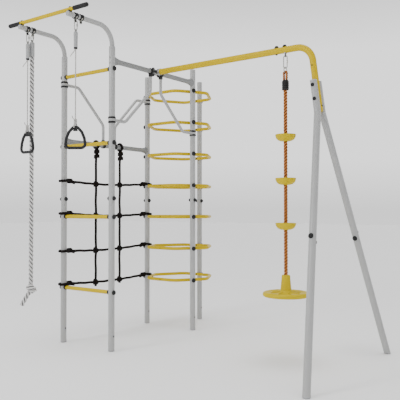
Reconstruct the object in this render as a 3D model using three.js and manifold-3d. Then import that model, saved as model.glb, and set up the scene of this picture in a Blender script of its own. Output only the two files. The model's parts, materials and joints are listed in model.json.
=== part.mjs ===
import * as THREE from 'three';
import { mergeVertices } from 'three/addons/utils/BufferGeometryUtils.js';
import Module from 'manifold-3d';

// Outdoor climbing frame: a hexagon ladder tower, a net bay, a rung ladder bay, two overhead arms
// with a pull-up bar and gym rings, and a long beam on two splayed legs that carries a disc swing.
// Units are millimetres, +Z is up, +X runs along the beam from the tower towards the splayed legs.
// Dimensions are given in a working frame whose origin is on the ground under the middle of the
// upper crossbar. ORIGIN moves everything so that the middle of the footprint is the final origin.
const ORIGIN = [549.34, 24.25, 0];

const GAP = 0.3;
const WALL = 2;
const SIDES = 12;

// Posts
const POST_R = 25.5;
const POST_XY = { a: [-574, -541], b: [0, -541], c: [-574, 541], d: [0, 541], e: [-287, 1038] };
const POST_SEAM_Z = 1180;
const POST_TOP_Z = { a: 2460, b: 2460, c: 2470, d: 2470, e: 2470 };
const POST_CAP = 4;
const FOOT_PLUG = 20;

// Arms and pull-up bar
const ARM_R = 19;
const ARM_Z = 2610;
const ARM_BEND_R = 145;
const ARM_END_Y = -1015;
const ARM_INSERT = 100;
const BAR_R = 14.75;
const BAR_Y = -988;
const BAR_Z = 2647;
const BAR_X = [-719, 173];
const GRIP_R = 17;
const GRIP_LENGTH = 150;
const GRIP_OVERHANG = 18;

// Beam and splayed legs
const BEAM_R = 25;
const BEAM_Z = 2346;
const BEAM_START_X = 42;
const BEAM_CORNER_X = 1501.7;
const BEAM_BEND_R = 132;
const BEAM_SLOPE = Math.tan(THREE.MathUtils.degToRad(8));
const BEAM_END_Z = 1850;
const LEG_OFFSET_Y = 40;
const LEG_TOP_Z = 2078;
const LEG_BEND_Z = 1845;
const LEG_SEAM_Z = 905;
const LEG_FOOT = [1810, 707];

// Crossbars, knee braces and rungs
const CROSSBAR_R = 21;
const CROSSBAR_UPPER_Z = 2346;
const CROSSBAR_NET_Z = 1730;
const BRACE_R = 13;
const BRACE_CLAMP_HEIGHT = 47;
const RUNG_R = 16;
const RUNG_Z = [470, 1078, 1680, 2280];

// Tower rings
const TOWER_CENTRE = [-287, 707];
const RING_R = 15;
const RING_INRADIUS = 290;
const RING_CORNER_R = 90;
const RING_FIRST_Z = 468;
const RING_SPACING = 300;
const RING_COUNT = 7;

// Net
const NET_R = 10;
const NET_UPRIGHT_Y = [-165, 145];
const NET_ROWS = [[1390, 1396], [1110, 1098], [785, 795], [502, 495]];
const NET_SAG = 24;
const NET_BOTTOM_Z = 440;

// Hanging pieces
const LUG_DROP = 38;
const LUG_HOLE_R = 9;
const LUG_R = 13;
const LINK_WIRE_R = 3.5;
const LINK_BEND_R = 15;
const ITEM_EYE_R = 8;
const ITEM_EYE_WIRE_R = 3;
const GYM_Y = -930;
const ROPE_Y = -887;
const GYM_PIVOT_Z = 2500;
const GYM_YAW = { a: 0, b: 34 };
const CLIMB_R = 18;
const CLIMB_PIVOT_Z = 2533;
const SWING_X = 1290;
const SWING_LUG_Z = 2302;
const SWING_PIVOT_Z = 2206;
const SWING_ROPE_R = 14.5;
const DISC_TOPS = [1705, 1376, 1038];
const DISC_R = 78.5;
const SEAT_R = 174;

const STEEL = { color: 0xb9bab6, roughness: 0.5, metalness: 0.35 };
const YELLOW = { color: 0xf2d600, roughness: 0.45, metalness: 0.05 };
const BLACK = { color: 0x1c1c1e, roughness: 0.6, metalness: 0 };
const GREY = { color: 0x9a9c9e, roughness: 0.65, metalness: 0 };
const ZINC = { color: 0xa4a6a8, roughness: 0.35, metalness: 0.85 };
const ROPE_WHITE = { color: 0xd6d3cb, roughness: 0.9, metalness: 0 };
const ROPE_BROWN = { color: 0xa8713d, roughness: 0.9, metalness: 0 };
const ROPE_DARK = { color: 0x3a2c25, roughness: 0.9, metalness: 0 };

const wasm = await Module();
wasm.setup();

const group = new THREE.Group();
group.name = 'climbing_frame';

const v3 = (x, y, z) => new THREE.Vector3(x, y, z);
const range = (count) => [...Array(count).keys()];

/** Radius of a cutter polygon that clears a round part of the given radius by GAP all round. */
function clear(radius, sides = SIDES) {
  return (radius + GAP) / Math.cos(Math.PI / sides);
}

/** Turns a closed three.js geometry into a manifold solid with outward faces. */
function solid(geometry) {
  const bare = geometry.clone();
  bare.deleteAttribute('normal');
  bare.deleteAttribute('uv');
  const welded = mergeVertices(bare, 1e-3);
  const triangles = Uint32Array.from(welded.index.array);
  const positions = welded.attributes.position;
  let volume = 0;
  for (let i = 0; i < triangles.length; i += 3) {
    const [p, q, r] = [0, 1, 2].map((k) => v3().fromBufferAttribute(positions, triangles[i + k]));
    volume += p.dot(q.cross(r));
  }
  if (volume < 0) {
    for (let i = 0; i < triangles.length; i += 3) {
      [triangles[i], triangles[i + 1]] = [triangles[i + 1], triangles[i]];
    }
  }
  const mesh = new wasm.Mesh({
    numProp: 3,
    vertProperties: Float32Array.from(positions.array),
    triVerts: triangles,
  });
  return new wasm.Manifold(mesh);
}

/** Joins a list of manifold solids. */
function union(solids) {
  return solids.reduce((joined, next) => joined.add(next));
}

/** Adds one named mesh to the group, moved into the final frame. */
function addNode(name, body, finish) {
  const mesh = body.getMesh();
  const geometry = new THREE.BufferGeometry();
  geometry.setAttribute('position', new THREE.BufferAttribute(Float32Array.from(mesh.vertProperties), 3));
  geometry.setIndex(new THREE.BufferAttribute(Uint32Array.from(mesh.triVerts), 1));
  geometry.translate(-ORIGIN[0], -ORIGIN[1], -ORIGIN[2]);
  geometry.computeVertexNormals();
  const node = new THREE.Mesh(geometry, new THREE.MeshStandardMaterial(finish));
  node.name = name;
  group.add(node);
}

/** Solid of revolution about a line along `axis` through `at`. The profile is [radius, height]. */
function turned(profile, at, axis = 'z', sides = SIDES) {
  const geometry = new THREE.LatheGeometry(profile.map(([r, h]) => new THREE.Vector2(r, h)), sides);
  const turns = { z: [Math.PI / 2, 0, 0], x: [0, 0, -Math.PI / 2], y: [0, 0, 0] };
  geometry.rotateX(turns[axis][0]);
  geometry.rotateZ(turns[axis][2]);
  geometry.translate(...at);
  return solid(geometry);
}

/** Plain cylinder from height `from` to height `to` along an axis through `at`. */
function cylinder(radius, from, to, at, axis = 'z', sides = SIDES) {
  return turned([[0, from], [radius, from], [radius, to], [0, to]], at, axis, sides);
}

/** Axis-aligned block from its low corner to its high corner. */
function block(low, high) {
  const size = low.map((value, k) => high[k] - value);
  const geometry = new THREE.BoxGeometry(...size);
  geometry.translate(...low.map((value, k) => (value + high[k]) / 2));
  return solid(geometry);
}

/** A centre line made of fixed stations, each with its own tangent. */
class StationCurve extends THREE.Curve {
  constructor(stations) {
    super();
    this.stations = stations;
  }

  station(u) {
    return this.stations[Math.round(u * (this.stations.length - 1))];
  }

  getPoint(u, target = v3()) {
    return target.copy(this.station(u).point);
  }

  getPointAt(u, target = v3()) {
    return this.getPoint(u, target);
  }

  getTangent(u, target = v3()) {
    return target.copy(this.station(u).tangent);
  }

  getTangentAt(u, target = v3()) {
    return this.getTangent(u, target);
  }
}

/** Stations along a polyline whose inner corners are rounded to the given radii. */
function rounded(points, radii, arcSteps = 5) {
  const first = v3().subVectors(points[1], points[0]).normalize();
  const stations = [{ point: points[0], tangent: first }];
  for (let i = 1; i < points.length - 1; i += 1) {
    const before = v3().subVectors(points[i], points[i - 1]).normalize();
    const after = v3().subVectors(points[i + 1], points[i]).normalize();
    const turn = before.angleTo(after);
    const radius = radii[i - 1];
    const start = points[i].clone().addScaledVector(before, -radius * Math.tan(turn / 2));
    const inward = v3().addScaledVector(before, -Math.cos(turn)).add(after).normalize();
    for (const step of range(arcSteps + 1)) {
      const angle = (turn * step) / arcSteps;
      const point = start.clone();
      point.addScaledVector(before, radius * Math.sin(angle));
      point.addScaledVector(inward, radius * (1 - Math.cos(angle)));
      const tangent = v3().addScaledVector(before, Math.cos(angle)).addScaledVector(inward, Math.sin(angle));
      stations.push({ point, tangent });
    }
  }
  const last = points[points.length - 1];
  stations.push({ point: last, tangent: v3().subVectors(last, points[points.length - 2]).normalize() });
  return stations;
}

/** Evenly spaced stations on a sampled line, for cords. */
function sampled(pointAt, steps) {
  return range(steps + 1).map((i) => {
    const low = pointAt(Math.max(i - 0.5, 0) / steps);
    const high = pointAt(Math.min(i + 0.5, steps) / steps);
    return { point: pointAt(i / steps), tangent: v3().subVectors(high, low).normalize() };
  });
}

/** Round bar swept along stations. */
function sweep(stations, radius, sides = SIDES) {
  const outline = range(sides).map((i) => {
    const angle = (2 * Math.PI * i) / sides;
    return new THREE.Vector2(radius * Math.cos(angle), radius * Math.sin(angle));
  });
  const geometry = new THREE.ExtrudeGeometry(new THREE.Shape(outline), {
    steps: stations.length - 1,
    bevelEnabled: false,
    extrudePath: new StationCurve(stations),
  });
  return solid(geometry);
}

/** Straight round bar between two points. */
function rod(from, to, radius, sides = SIDES) {
  return sweep(rounded([from, to], []), radius, sides);
}

/** Outline, with outward normals, of a band pulled tight round circles listed anticlockwise. */
function bandLoop(circles, arcSteps) {
  const count = circles.length;
  const normalAngles = circles.map((circle, i) => {
    const next = circles[(i + 1) % count];
    const [dx, dy] = [next.x - circle.x, next.y - circle.y];
    return Math.atan2(dy, dx) - Math.acos((circle.r - next.r) / Math.hypot(dx, dy));
  });
  return circles.flatMap((circle, i) => {
    const start = normalAngles[(i + count - 1) % count];
    let turn = normalAngles[i] - start;
    turn -= 2 * Math.PI * Math.floor(turn / (2 * Math.PI));
    return range(arcSteps + 1).map((step) => {
      const angle = start + (turn * step) / arcSteps;
      const normal = new THREE.Vector2(Math.cos(angle), Math.sin(angle));
      const point = new THREE.Vector2(circle.x + circle.r * normal.x, circle.y + circle.r * normal.y);
      return { point, normal };
    });
  });
}

/** Outline, with outward normals, of a circle. */
function circleLoop(radius, steps) {
  return range(steps).map((i) => {
    const angle = (2 * Math.PI * i) / steps;
    const normal = new THREE.Vector2(Math.cos(angle), Math.sin(angle));
    return { point: normal.clone().multiplyScalar(radius), normal };
  });
}

/** Closed round bar along a flat loop. `plane` names the two world axes the loop lies in. */
function closedTube(loop, radius, sides, at, plane = 'xy') {
  const geometry = new THREE.TorusGeometry(100, radius, sides, loop.length);
  const positions = geometry.attributes.position;
  for (let j = 0; j <= sides; j += 1) {
    const around = (2 * Math.PI * (j % sides)) / sides;
    for (let i = 0; i <= loop.length; i += 1) {
      const { point, normal } = loop[i % loop.length];
      const out = radius * Math.cos(around);
      positions.setXYZ(j * (loop.length + 1) + i, point.x + out * normal.x, point.y + out * normal.y,
        radius * Math.sin(around));
    }
  }
  if (plane === 'xz') {
    geometry.rotateX(Math.PI / 2);
  }
  if (plane === 'yz') {
    geometry.rotateX(Math.PI / 2);
    geometry.rotateZ(Math.PI / 2);
  }
  geometry.translate(...at);
  return solid(geometry);
}

/** Flat plate cut to a closed outline, `thickness` thick about its middle plane. */
function plate(outline, thickness, at, plane) {
  const geometry = new THREE.ExtrudeGeometry(new THREE.Shape(outline), { depth: thickness, bevelEnabled: false });
  geometry.translate(0, 0, -thickness / 2);
  geometry.rotateX(Math.PI / 2);
  if (plane === 'yz') {
    geometry.rotateZ(Math.PI / 2);
  }
  geometry.translate(...at);
  return solid(geometry);
}

/** Cutter the size of a post, used to shape whatever hugs that post. */
function postCutter(post) {
  const [x, y] = POST_XY[post];
  return cylinder(clear(POST_R), -10, 2600, [x, y, 0]);
}

function buildPosts() {
  for (const [post, [x, y]] of Object.entries(POST_XY)) {
    const bore = POST_R - WALL;
    const seam = POST_SEAM_Z;
    const lower = [[0, 0], [POST_R, 0], [POST_R, seam], [bore, seam], [bore, FOOT_PLUG], [0, FOOT_PLUG]];
    addNode(`post_lower_${post}`, turned(lower, [x, y, 0]), STEEL);
    const top = POST_TOP_Z[post];
    const start = seam + GAP;
    const tube = cylinder(POST_R, start, top, [x, y, 0]);
    const holdsArm = post === 'a' || post === 'b';
    let cavity = cylinder(bore, start - 1, top - POST_CAP, [x, y, 0]);
    if (holdsArm) {
      cavity = union([
        cylinder(bore, start - 1, top - ARM_INSERT - 10, [x, y, 0]),
        cylinder(clear(ARM_R), top - ARM_INSERT - 11, top + 1, [x, y, 0]),
      ]);
    }
    addNode(`post_upper_${post}`, tube.subtract(cavity), STEEL);
  }
}

function buildArms() {
  for (const post of ['a', 'b']) {
    const [x, y] = POST_XY[post];
    const low = POST_TOP_Z[post] - ARM_INSERT;
    const outer = rounded([v3(x, y, low), v3(x, y, ARM_Z), v3(x, ARM_END_Y, ARM_Z)], [ARM_BEND_R], 6);
    const bore = rounded([v3(x, y, low - 1), v3(x, y, ARM_Z), v3(x, ARM_END_Y + 3, ARM_Z)], [ARM_BEND_R], 6);
    addNode(`arm_${post}`, sweep(outer, ARM_R).subtract(sweep(bore, ARM_R - WALL)), STEEL);
  }
}

function buildPullupBar() {
  const saddles = ['a', 'b'].map((post) => {
    const x = POST_XY[post][0];
    const pad = block([x - 10, BAR_Y - 14, ARM_Z + 8], [x + 10, BAR_Y + 14, BAR_Z]);
    return pad.subtract(cylinder(clear(ARM_R), -60, 60, [x, BAR_Y, ARM_Z], 'y'));
  });
  const bar = cylinder(BAR_R, BAR_X[0], BAR_X[1], [0, BAR_Y, BAR_Z], 'x', 12);
  const bore = cylinder(BAR_R - WALL, BAR_X[0] - 1, BAR_X[1] + 1, [0, BAR_Y, BAR_Z], 'x', 12);
  addNode('pullup_bar', union([bar, ...saddles]).subtract(bore), YELLOW);
  const inner = clear(BAR_R, 12);
  const far = GRIP_LENGTH;
  const profile = [
    [0, -GRIP_OVERHANG], [GRIP_R - 5, -GRIP_OVERHANG], [GRIP_R, -GRIP_OVERHANG + 6], [GRIP_R, far - 26],
    [inner + 0.6, far - GRIP_OVERHANG], [inner, far - GRIP_OVERHANG], [inner, -GAP], [0, -GAP],
  ];
  const mirrored = profile.map(([r, h]) => [r, -h]).reverse();
  addNode('grip_a', turned(profile, [BAR_X[0], BAR_Y, BAR_Z], 'x', 14), BLACK);
  addNode('grip_b', turned(mirrored, [BAR_X[1], BAR_Y, BAR_Z], 'x', 14), BLACK);
}

/** Corner and end points of the beam's centre line. */
function beamPoints(endZ = BEAM_END_Z) {
  const endX = BEAM_CORNER_X + (BEAM_Z - endZ) * BEAM_SLOPE;
  return [v3(BEAM_START_X, 0, BEAM_Z), v3(BEAM_CORNER_X, 0, BEAM_Z), v3(endX, 0, endZ)];
}

/** Plate with a hole that a link hangs in. It stands in the YZ plane below `top`. */
function hangingLug(x, y, holeZ, top) {
  const stem = block([x - 2, y - LUG_R, holeZ], [x + 2, y + LUG_R, top]);
  const eye = cylinder(LUG_R, -2, 2, [x, y, holeZ], 'x');
  const hole = cylinder(LUG_HOLE_R, -10, 10, [x, y, holeZ], 'x');
  return union([stem, eye]).subtract(hole);
}

function buildBeam() {
  const tube = sweep(rounded(beamPoints(), [BEAM_BEND_R], 6), BEAM_R);
  const borePoints = beamPoints(BEAM_END_Z - 1);
  borePoints[0].x -= 1;
  const bore = sweep(rounded(borePoints, [BEAM_BEND_R], 6), BEAM_R - WALL);
  const hollow = tube.subtract(bore);
  const lug = hangingLug(SWING_X, 0, SWING_LUG_Z, BEAM_Z - BEAM_R + 1);
  addNode('top_beam', union([hollow, lug]), YELLOW);

  const socket = cylinder(BEAM_R + 4, 12, 60, [0, 0, BEAM_Z], 'x');
  const shell = cylinder(CROSSBAR_R + 6, -40, 40, [0, 0, CROSSBAR_UPPER_Z], 'y');
  const cuts = union([
    cylinder(clear(CROSSBAR_R), -60, 60, [0, 0, CROSSBAR_UPPER_Z], 'y'),
    cylinder(clear(BEAM_R), BEAM_START_X - GAP, 80, [0, 0, BEAM_Z], 'x'),
    block([-60, -60, BEAM_Z - 60], [-9, 60, BEAM_Z + 60]),
  ]);
  addNode('beam_tee', union([socket, shell]).subtract(cuts), ZINC);
}

/** Points of one splayed leg's centre line. Side -1 is the near leg and +1 the far leg. */
function legPoints(side) {
  const [, corner, end] = beamPoints(LEG_BEND_Z);
  const topX = corner.x + (BEAM_Z - LEG_TOP_Z) * BEAM_SLOPE;
  const top = v3(topX, side * LEG_OFFSET_Y, LEG_TOP_Z);
  const knee = v3(end.x, side * LEG_OFFSET_Y, LEG_BEND_Z);
  const foot = v3(LEG_FOOT[0], side * LEG_FOOT[1], 0);
  return [top, knee, foot];
}

function buildLegs() {
  for (const [label, side] of [['near', -1], ['far', 1]]) {
    const [top, knee, foot] = legPoints(side);
    const along = v3().subVectors(foot, knee).normalize();
    const seam = knee.clone().lerp(foot, (LEG_BEND_Z - LEG_SEAM_Z) / LEG_BEND_Z);
    const beam = beamPoints(1700).slice(1);
    const below = seam.clone().addScaledVector(along, 1);
    const outer = sweep(rounded([top, knee, seam], [90], 4), POST_R);
    const bore = sweep(rounded([top.clone().setZ(LEG_TOP_Z - 3), knee, below], [90], 4), POST_R - WALL);
    const shaped = outer.subtract(rod(beam[0], beam[1], clear(BEAM_R)));
    const cavity = bore.subtract(rod(beam[0], beam[1], BEAM_R + WALL + 1));
    addNode(`leg_upper_${label}`, shaped.subtract(cavity), STEEL);

    const start = seam.clone().addScaledVector(along, GAP);
    const past = foot.clone().addScaledVector(along, 40);
    const slab = block([1200, -1000, 0], [2200, 1000, 1200]);
    const plugTop = block([1200, -1000, FOOT_PLUG], [2200, 1000, 1200]);
    const tube = rod(start, past, POST_R).intersect(slab);
    const inside = rod(seam.clone().addScaledVector(along, -1), past, POST_R - WALL).intersect(plugTop);
    addNode(`leg_lower_${label}`, tube.subtract(inside), STEEL);
  }
}

/** Crossbar along Y between two posts, with saddles that hug both posts. */
function buildCrossbar(name, posts, z, saddleHalfHeight) {
  const [x, low] = POST_XY[posts[0]];
  const high = POST_XY[posts[1]][1];
  const tube = cylinder(CROSSBAR_R, low, high, [x, 0, z], 'y');
  const saddles = [[low, 1], [high, -1]].map(([y, side]) => {
    const corner = 14;
    const circles = [[-1, -1], [1, -1], [1, 1], [-1, 1]].map(([sx, sz]) => (
      { x: sx * (22 - corner), y: sz * (saddleHalfHeight - corner), r: corner }));
    const outline = bandLoop(circles, 2).map((entry) => entry.point);
    const pad = plate(outline, 32, [x, y + side * 18, z], 'xz');
    const collar = cylinder(CROSSBAR_R + 2.5, Math.min(0, side * 58), Math.max(0, side * 58), [x, y, z], 'y');
    return union([pad, collar]);
  });
  const ends = [low, high].map((y) => cylinder(CROSSBAR_R - WALL, -35, 35, [x, y, z], 'y'));
  const bore = cylinder(CROSSBAR_R - WALL, low, high, [x, 0, z], 'y');
  const cuts = union([...posts.map(postCutter), ...ends, bore]);
  const body = union([tube, ...saddles]).subtract(cuts);
  const middle = block([x - 60, low + 10, z - 60], [x + 60, high - 10, z + 60]);
  const pieces = body.intersect(middle).decompose();
  pieces.sort((p, q) => q.volume() - p.volume());
  addNode(name, pieces[0], STEEL);
}

/** Knee brace: a clamp round its post, a stub, a diagonal and an end shaped to the crossbar. */
function buildBrace(post, clampZ, stubY, turnY, turnZ, barZ) {
  const [x, y] = POST_XY[post];
  const side = Math.sign(y);
  const half = BRACE_CLAMP_HEIGHT / 2;
  const band = cylinder(POST_R + 4, clampZ - half, clampZ + half, [x, y, 0]);
  const points = (inset) => [
    v3(x, y - side * (POST_R + inset), clampZ), v3(x, side * stubY, clampZ), v3(x, side * turnY, turnZ),
    v3(x, side * turnY, barZ),
  ];
  const tube = sweep(rounded(points(1), [60, 60], 2), BRACE_R, 8);
  const bore = sweep(rounded(points(8), [60, 60], 2), BRACE_R - WALL, 8);
  const bar = cylinder(clear(CROSSBAR_R), -200, 200, [x, 0, barZ], 'y');
  const cut = union([postCutter(post), bar]);
  addNode(`brace_${post}`, union([band, tube]).subtract(bore).subtract(cut), STEEL);
}

function buildRungs() {
  const [ax, y] = POST_XY.a;
  const bx = POST_XY.b[0];
  const cuts = union([postCutter('a'), postCutter('b')]);
  RUNG_Z.forEach((z, i) => {
    const profile = [
      [RUNG_R - WALL, ax + 10], [20, ax + 10], [20, ax + 32], [RUNG_R + 1, ax + 41], [RUNG_R, ax + 41],
      [RUNG_R, bx - 41], [RUNG_R + 1, bx - 41], [20, bx - 32], [20, bx - 10], [RUNG_R - WALL, bx - 10],
      [RUNG_R - WALL, ax + 10],
    ];
    addNode(`rung_${i + 1}`, turned(profile, [0, y, z], 'x', 12).subtract(cuts), YELLOW);
  });
}

function buildRings() {
  const cornerDistance = (RING_INRADIUS - RING_CORNER_R) / Math.cos(Math.PI / 6);
  const circles = range(6).map((i) => {
    const angle = (Math.PI / 3) * i;
    return { x: cornerDistance * Math.cos(angle), y: cornerDistance * Math.sin(angle), r: RING_CORNER_R };
  });
  const loop = bandLoop(circles, 3);
  for (const i of range(RING_COUNT)) {
    const at = [...TOWER_CENTRE, RING_FIRST_Z + i * RING_SPACING];
    addNode(`ring_${i + 1}`, closedTube(loop, RING_R, 6, at), YELLOW);
  }
}

/** Small barrel-shaped knot or clip round a rope. */
function knot(at, axis, length, radius) {
  const profile = [[0, -length / 2], [radius, -length / 3], [radius, length / 3], [0, length / 2]];
  return turned(profile, at, axis, 7);
}

function buildNet() {
  const x = POST_XY.a[0];
  const [yA, yC] = [POST_XY.a[1], POST_XY.c[1]];
  const postLoop = (POST_R + GAP + NET_R) / Math.cos(Math.PI / 8);
  const barLoop = (CROSSBAR_R + GAP + NET_R) / Math.cos(Math.PI / 8);
  const pieces = [];
  const rowZ = (row, y) => {
    const t = (y - yA) / (yC - yA);
    return row[0] + (row[1] - row[0]) * t - 4 * NET_SAG * t * (1 - t);
  };
  for (const row of NET_ROWS) {
    const start = yA + postLoop;
    const end = yC - postLoop;
    const line = sampled((t) => v3(x, start + (end - start) * t, rowZ(row, start + (end - start) * t)), 8);
    pieces.push(sweep(line, NET_R, 6));
    pieces.push(closedTube(circleLoop(postLoop, 8), NET_R, 6, [x, yA, rowZ(row, start)]));
    pieces.push(closedTube(circleLoop(postLoop, 8), NET_R, 6, [x, yC, rowZ(row, end)]));
    pieces.push(knot([x, start + 24, rowZ(row, start + 24)], 'y', 40, 16));
    pieces.push(knot([x, end - 24, rowZ(row, end - 24)], 'y', 40, 16));
  }
  for (const y of NET_UPRIGHT_Y) {
    const top = CROSSBAR_NET_Z - barLoop;
    pieces.push(rod(v3(x, y, top), v3(x, y, NET_BOTTOM_Z), NET_R, 6));
    pieces.push(closedTube(circleLoop(barLoop, 8), NET_R, 6, [x, y, CROSSBAR_NET_Z], 'xz'));
    pieces.push(knot([x, y, top - 40], 'z', 80, 17));
    for (const row of NET_ROWS) {
      pieces.push(knot([x, y, rowZ(row, y)], 'z', 44, 17));
    }
  }
  addNode('net', union(pieces), ROPE_DARK);
}

function buildArmClamp(name, post, y) {
  const x = POST_XY[post][0];
  const band = cylinder(ARM_R + 4, -13, 13, [x, y, ARM_Z], 'y');
  const lug = hangingLug(x, y, ARM_Z - LUG_DROP, ARM_Z - ARM_R - 1);
  const cut = cylinder(clear(ARM_R), -30, 30, [x, y, ARM_Z], 'y');
  addNode(name, union([band, lug]).subtract(cut), ZINC);
}

/** Oval link in the XZ plane, from the lug's hole down to the next pivot. */
function oval(x, y, topZ, bottomZ, wire) {
  const bend = LINK_BEND_R;
  const circles = [{ x: 0, y: bottomZ + bend, r: bend }, { x: 0, y: topZ - bend, r: bend }];
  return closedTube(bandLoop(circles, 5), wire, 5, [x, y, 0], 'xz');
}

/** Straight upright cord along Z. */
function uprightCord(x, y, topZ, bottomZ, radius, steps, sides) {
  return sweep(sampled((t) => v3(x, y, topZ + (bottomZ - topZ) * t), steps), radius, sides);
}

function buildGymRing(label) {
  const x = POST_XY[label][0];
  const y = GYM_Y;
  addNode(`gym_link_${label}`, oval(x, y, ARM_Z - LUG_DROP, GYM_PIVOT_Z, LINK_WIRE_R), ZINC);

  const sleeveTop = GYM_PIVOT_Z - ITEM_EYE_R - 2;
  const eye = closedTube(circleLoop(ITEM_EYE_R, 8), ITEM_EYE_WIRE_R, 5, [x, y, GYM_PIVOT_Z], 'yz');
  const profile = [[0, 2357], [12, 2357], [15, 2367], [15, sleeveTop - 4], [12, sleeveTop], [0, sleeveTop]];
  addNode(`gym_sleeve_${label}`, union([eye, turned(profile, [x, y, 0], 'z', 12)]), GREY);
  addNode(`gym_cord_${label}`, uprightCord(x, y, 2357 - GAP, 1776 + GAP, 4.5, 12, 8), ROPE_WHITE);

  const circles = [
    { x: -44, y: 31, r: 31 }, { x: 44, y: 31, r: 31 }, { x: 24, y: 62, r: 46 }, { x: 10, y: 96, r: 46 },
    { x: 0, y: 128, r: 32 }, { x: -10, y: 96, r: 46 }, { x: -24, y: 62, r: 46 },
  ];
  const loop = bandLoop(circles, 3);
  const grip = closedTube(loop, 11.5, 7, [0, 0, 0], 'xz');
  const webOutline = [{ x: -11, y: 134, r: 6 }, { x: 11, y: 134, r: 6 }, { x: 0, y: 152, r: 8 }];
  const web = plate(bandLoop(webOutline, 3).map((entry) => entry.point), 9, [0, 0, 0], 'xz');
  const handle = union([grip, web]).rotate([0, 0, GYM_YAW[label]]).translate([x, y, 1604.5]);
  addNode(`gym_handle_${label}`, handle, BLACK);
}

function buildClimbingRope() {
  const x = POST_XY.a[0];
  const y = ROPE_Y;
  addNode('climb_link', oval(x, y, ARM_Z - LUG_DROP, CLIMB_PIVOT_Z - 12, LINK_WIRE_R), ZINC);
  const eyeZ = CLIMB_PIVOT_Z - 12;
  const eye = closedTube(circleLoop(ITEM_EYE_R, 8), ITEM_EYE_WIRE_R, 5, [x, y, eyeZ], 'yz');
  const sleeveTop = eyeZ - ITEM_EYE_R - 2;
  const profile = [[0, 2391], [20, 2391], [20, sleeveTop - 4], [16, sleeveTop], [0, sleeveTop]];
  const sleeve = turned(profile, [x, y, 0], 'z', 12);
  const rope = uprightCord(x, y, 2395, 500, CLIMB_R, 20, 8);
  const knotBody = turned([[0, 452], [24, 458], [39, 480], [39, 506], [24, 528], [0, 534]],
    [x, y, 0], 'z', 10);
  const tail = rod(v3(x - 12, y - 10, 478), v3(x - 62, y - 46, 356), CLIMB_R, 10);
  addNode('climb_rope', union([eye, sleeve, rope, knotBody, tail]), ROPE_WHITE);
}

function buildSwing() {
  const x = SWING_X;
  addNode('swing_link', oval(x, 0, SWING_LUG_Z, SWING_PIVOT_Z, 4), ZINC);

  const ringWire = 3;
  const ringR = 23;
  const ringZ = SWING_PIVOT_Z + 5 + ringWire - ringR;
  const ring = closedTube(circleLoop(ringR, 12), ringWire, 6, [x, 0, ringZ], 'yz');
  const eyeTop = ringZ - ringR + ringWire + 7.5;
  const eyeLoop = bandLoop([{ x: 0, y: 2105, r: 12 }, { x: 0, y: eyeTop - 12, r: 12 }], 5);
  const eye = closedTube(eyeLoop, 8, 8, [x, 0, 0], 'xz');
  const crimp = turned([[0, 2039], [22, 2039], [26.5, 2046], [26.5, 2107], [22, 2114], [0, 2114]],
    [x, 0, 0], 'z', 16);
  addNode('swing_eye', union([ring, eye, crimp]), ZINC);
  addNode('swing_rope', uprightCord(x, 0, 2039 - GAP, 486, SWING_ROPE_R, 20, 8), ROPE_BROWN);

  const bore = clear(SWING_ROPE_R, 16);
  DISC_TOPS.forEach((top, i) => {
    const profile = [
      [bore, top], [DISC_R - 5, top], [DISC_R, top - 5], [DISC_R - 3, top - 14], [58, top - 36],
      [34, top - 52], [22, top - 54], [bore, top - 54], [bore, top],
    ];
    addNode(`foot_disc_${i + 1}`, turned(profile, [x, 0, 0], 'z', 16), YELLOW);
  });
  const seat = [
    [bore, 647], [31.5, 647], [40.5, 530], [62, 522], [140, 514], [158, 520], [168, 519], [SEAT_R, 510],
    [SEAT_R, 495], [167, 485], [150, 484], [bore, 484], [bore, 647],
  ];
  addNode('swing_seat', turned(seat, [x, 0, 0], 'z', 20), YELLOW);
}

buildPosts();
buildArms();
buildPullupBar();
buildBeam();
buildLegs();
buildCrossbar('crossbar_upper', ['b', 'd'], CROSSBAR_UPPER_Z, 39);
buildCrossbar('crossbar_net', ['a', 'c'], CROSSBAR_NET_Z, 34);
for (const post of ['a', 'c']) {
  buildBrace(post, 2218, 380, 75, 1917, CROSSBAR_NET_Z);
}
for (const post of ['b', 'd']) {
  buildBrace(post, 1863, 387, 68, 2165, CROSSBAR_UPPER_Z);
}
buildRungs();
buildRings();
buildNet();
buildArmClamp('clamp_a_ring', 'a', GYM_Y);
buildArmClamp('clamp_a_rope', 'a', ROPE_Y);
buildArmClamp('clamp_b_ring', 'b', GYM_Y);
buildArmClamp('clamp_b_spare', 'b', ROPE_Y);
buildGymRing('a');
buildGymRing('b');
buildClimbingRope();
buildSwing();

export default group;
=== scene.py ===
"""Outdoor climbing frame: hexagon-ring tower, rope net, rung ladder, gym rings, rope and disc swing.

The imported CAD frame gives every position. Each CAD node is replaced by a finely modelled piece that
rides the same body. Lengths are metres, +Z is up and +X runs along the beam to the splayed legs.
"""

import json
import logging
import math
from dataclasses import dataclass
from enum import Enum
from typing import Callable, Sequence

import bmesh
import bpy
import numpy as np
from mathutils import Matrix, Vector

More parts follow.
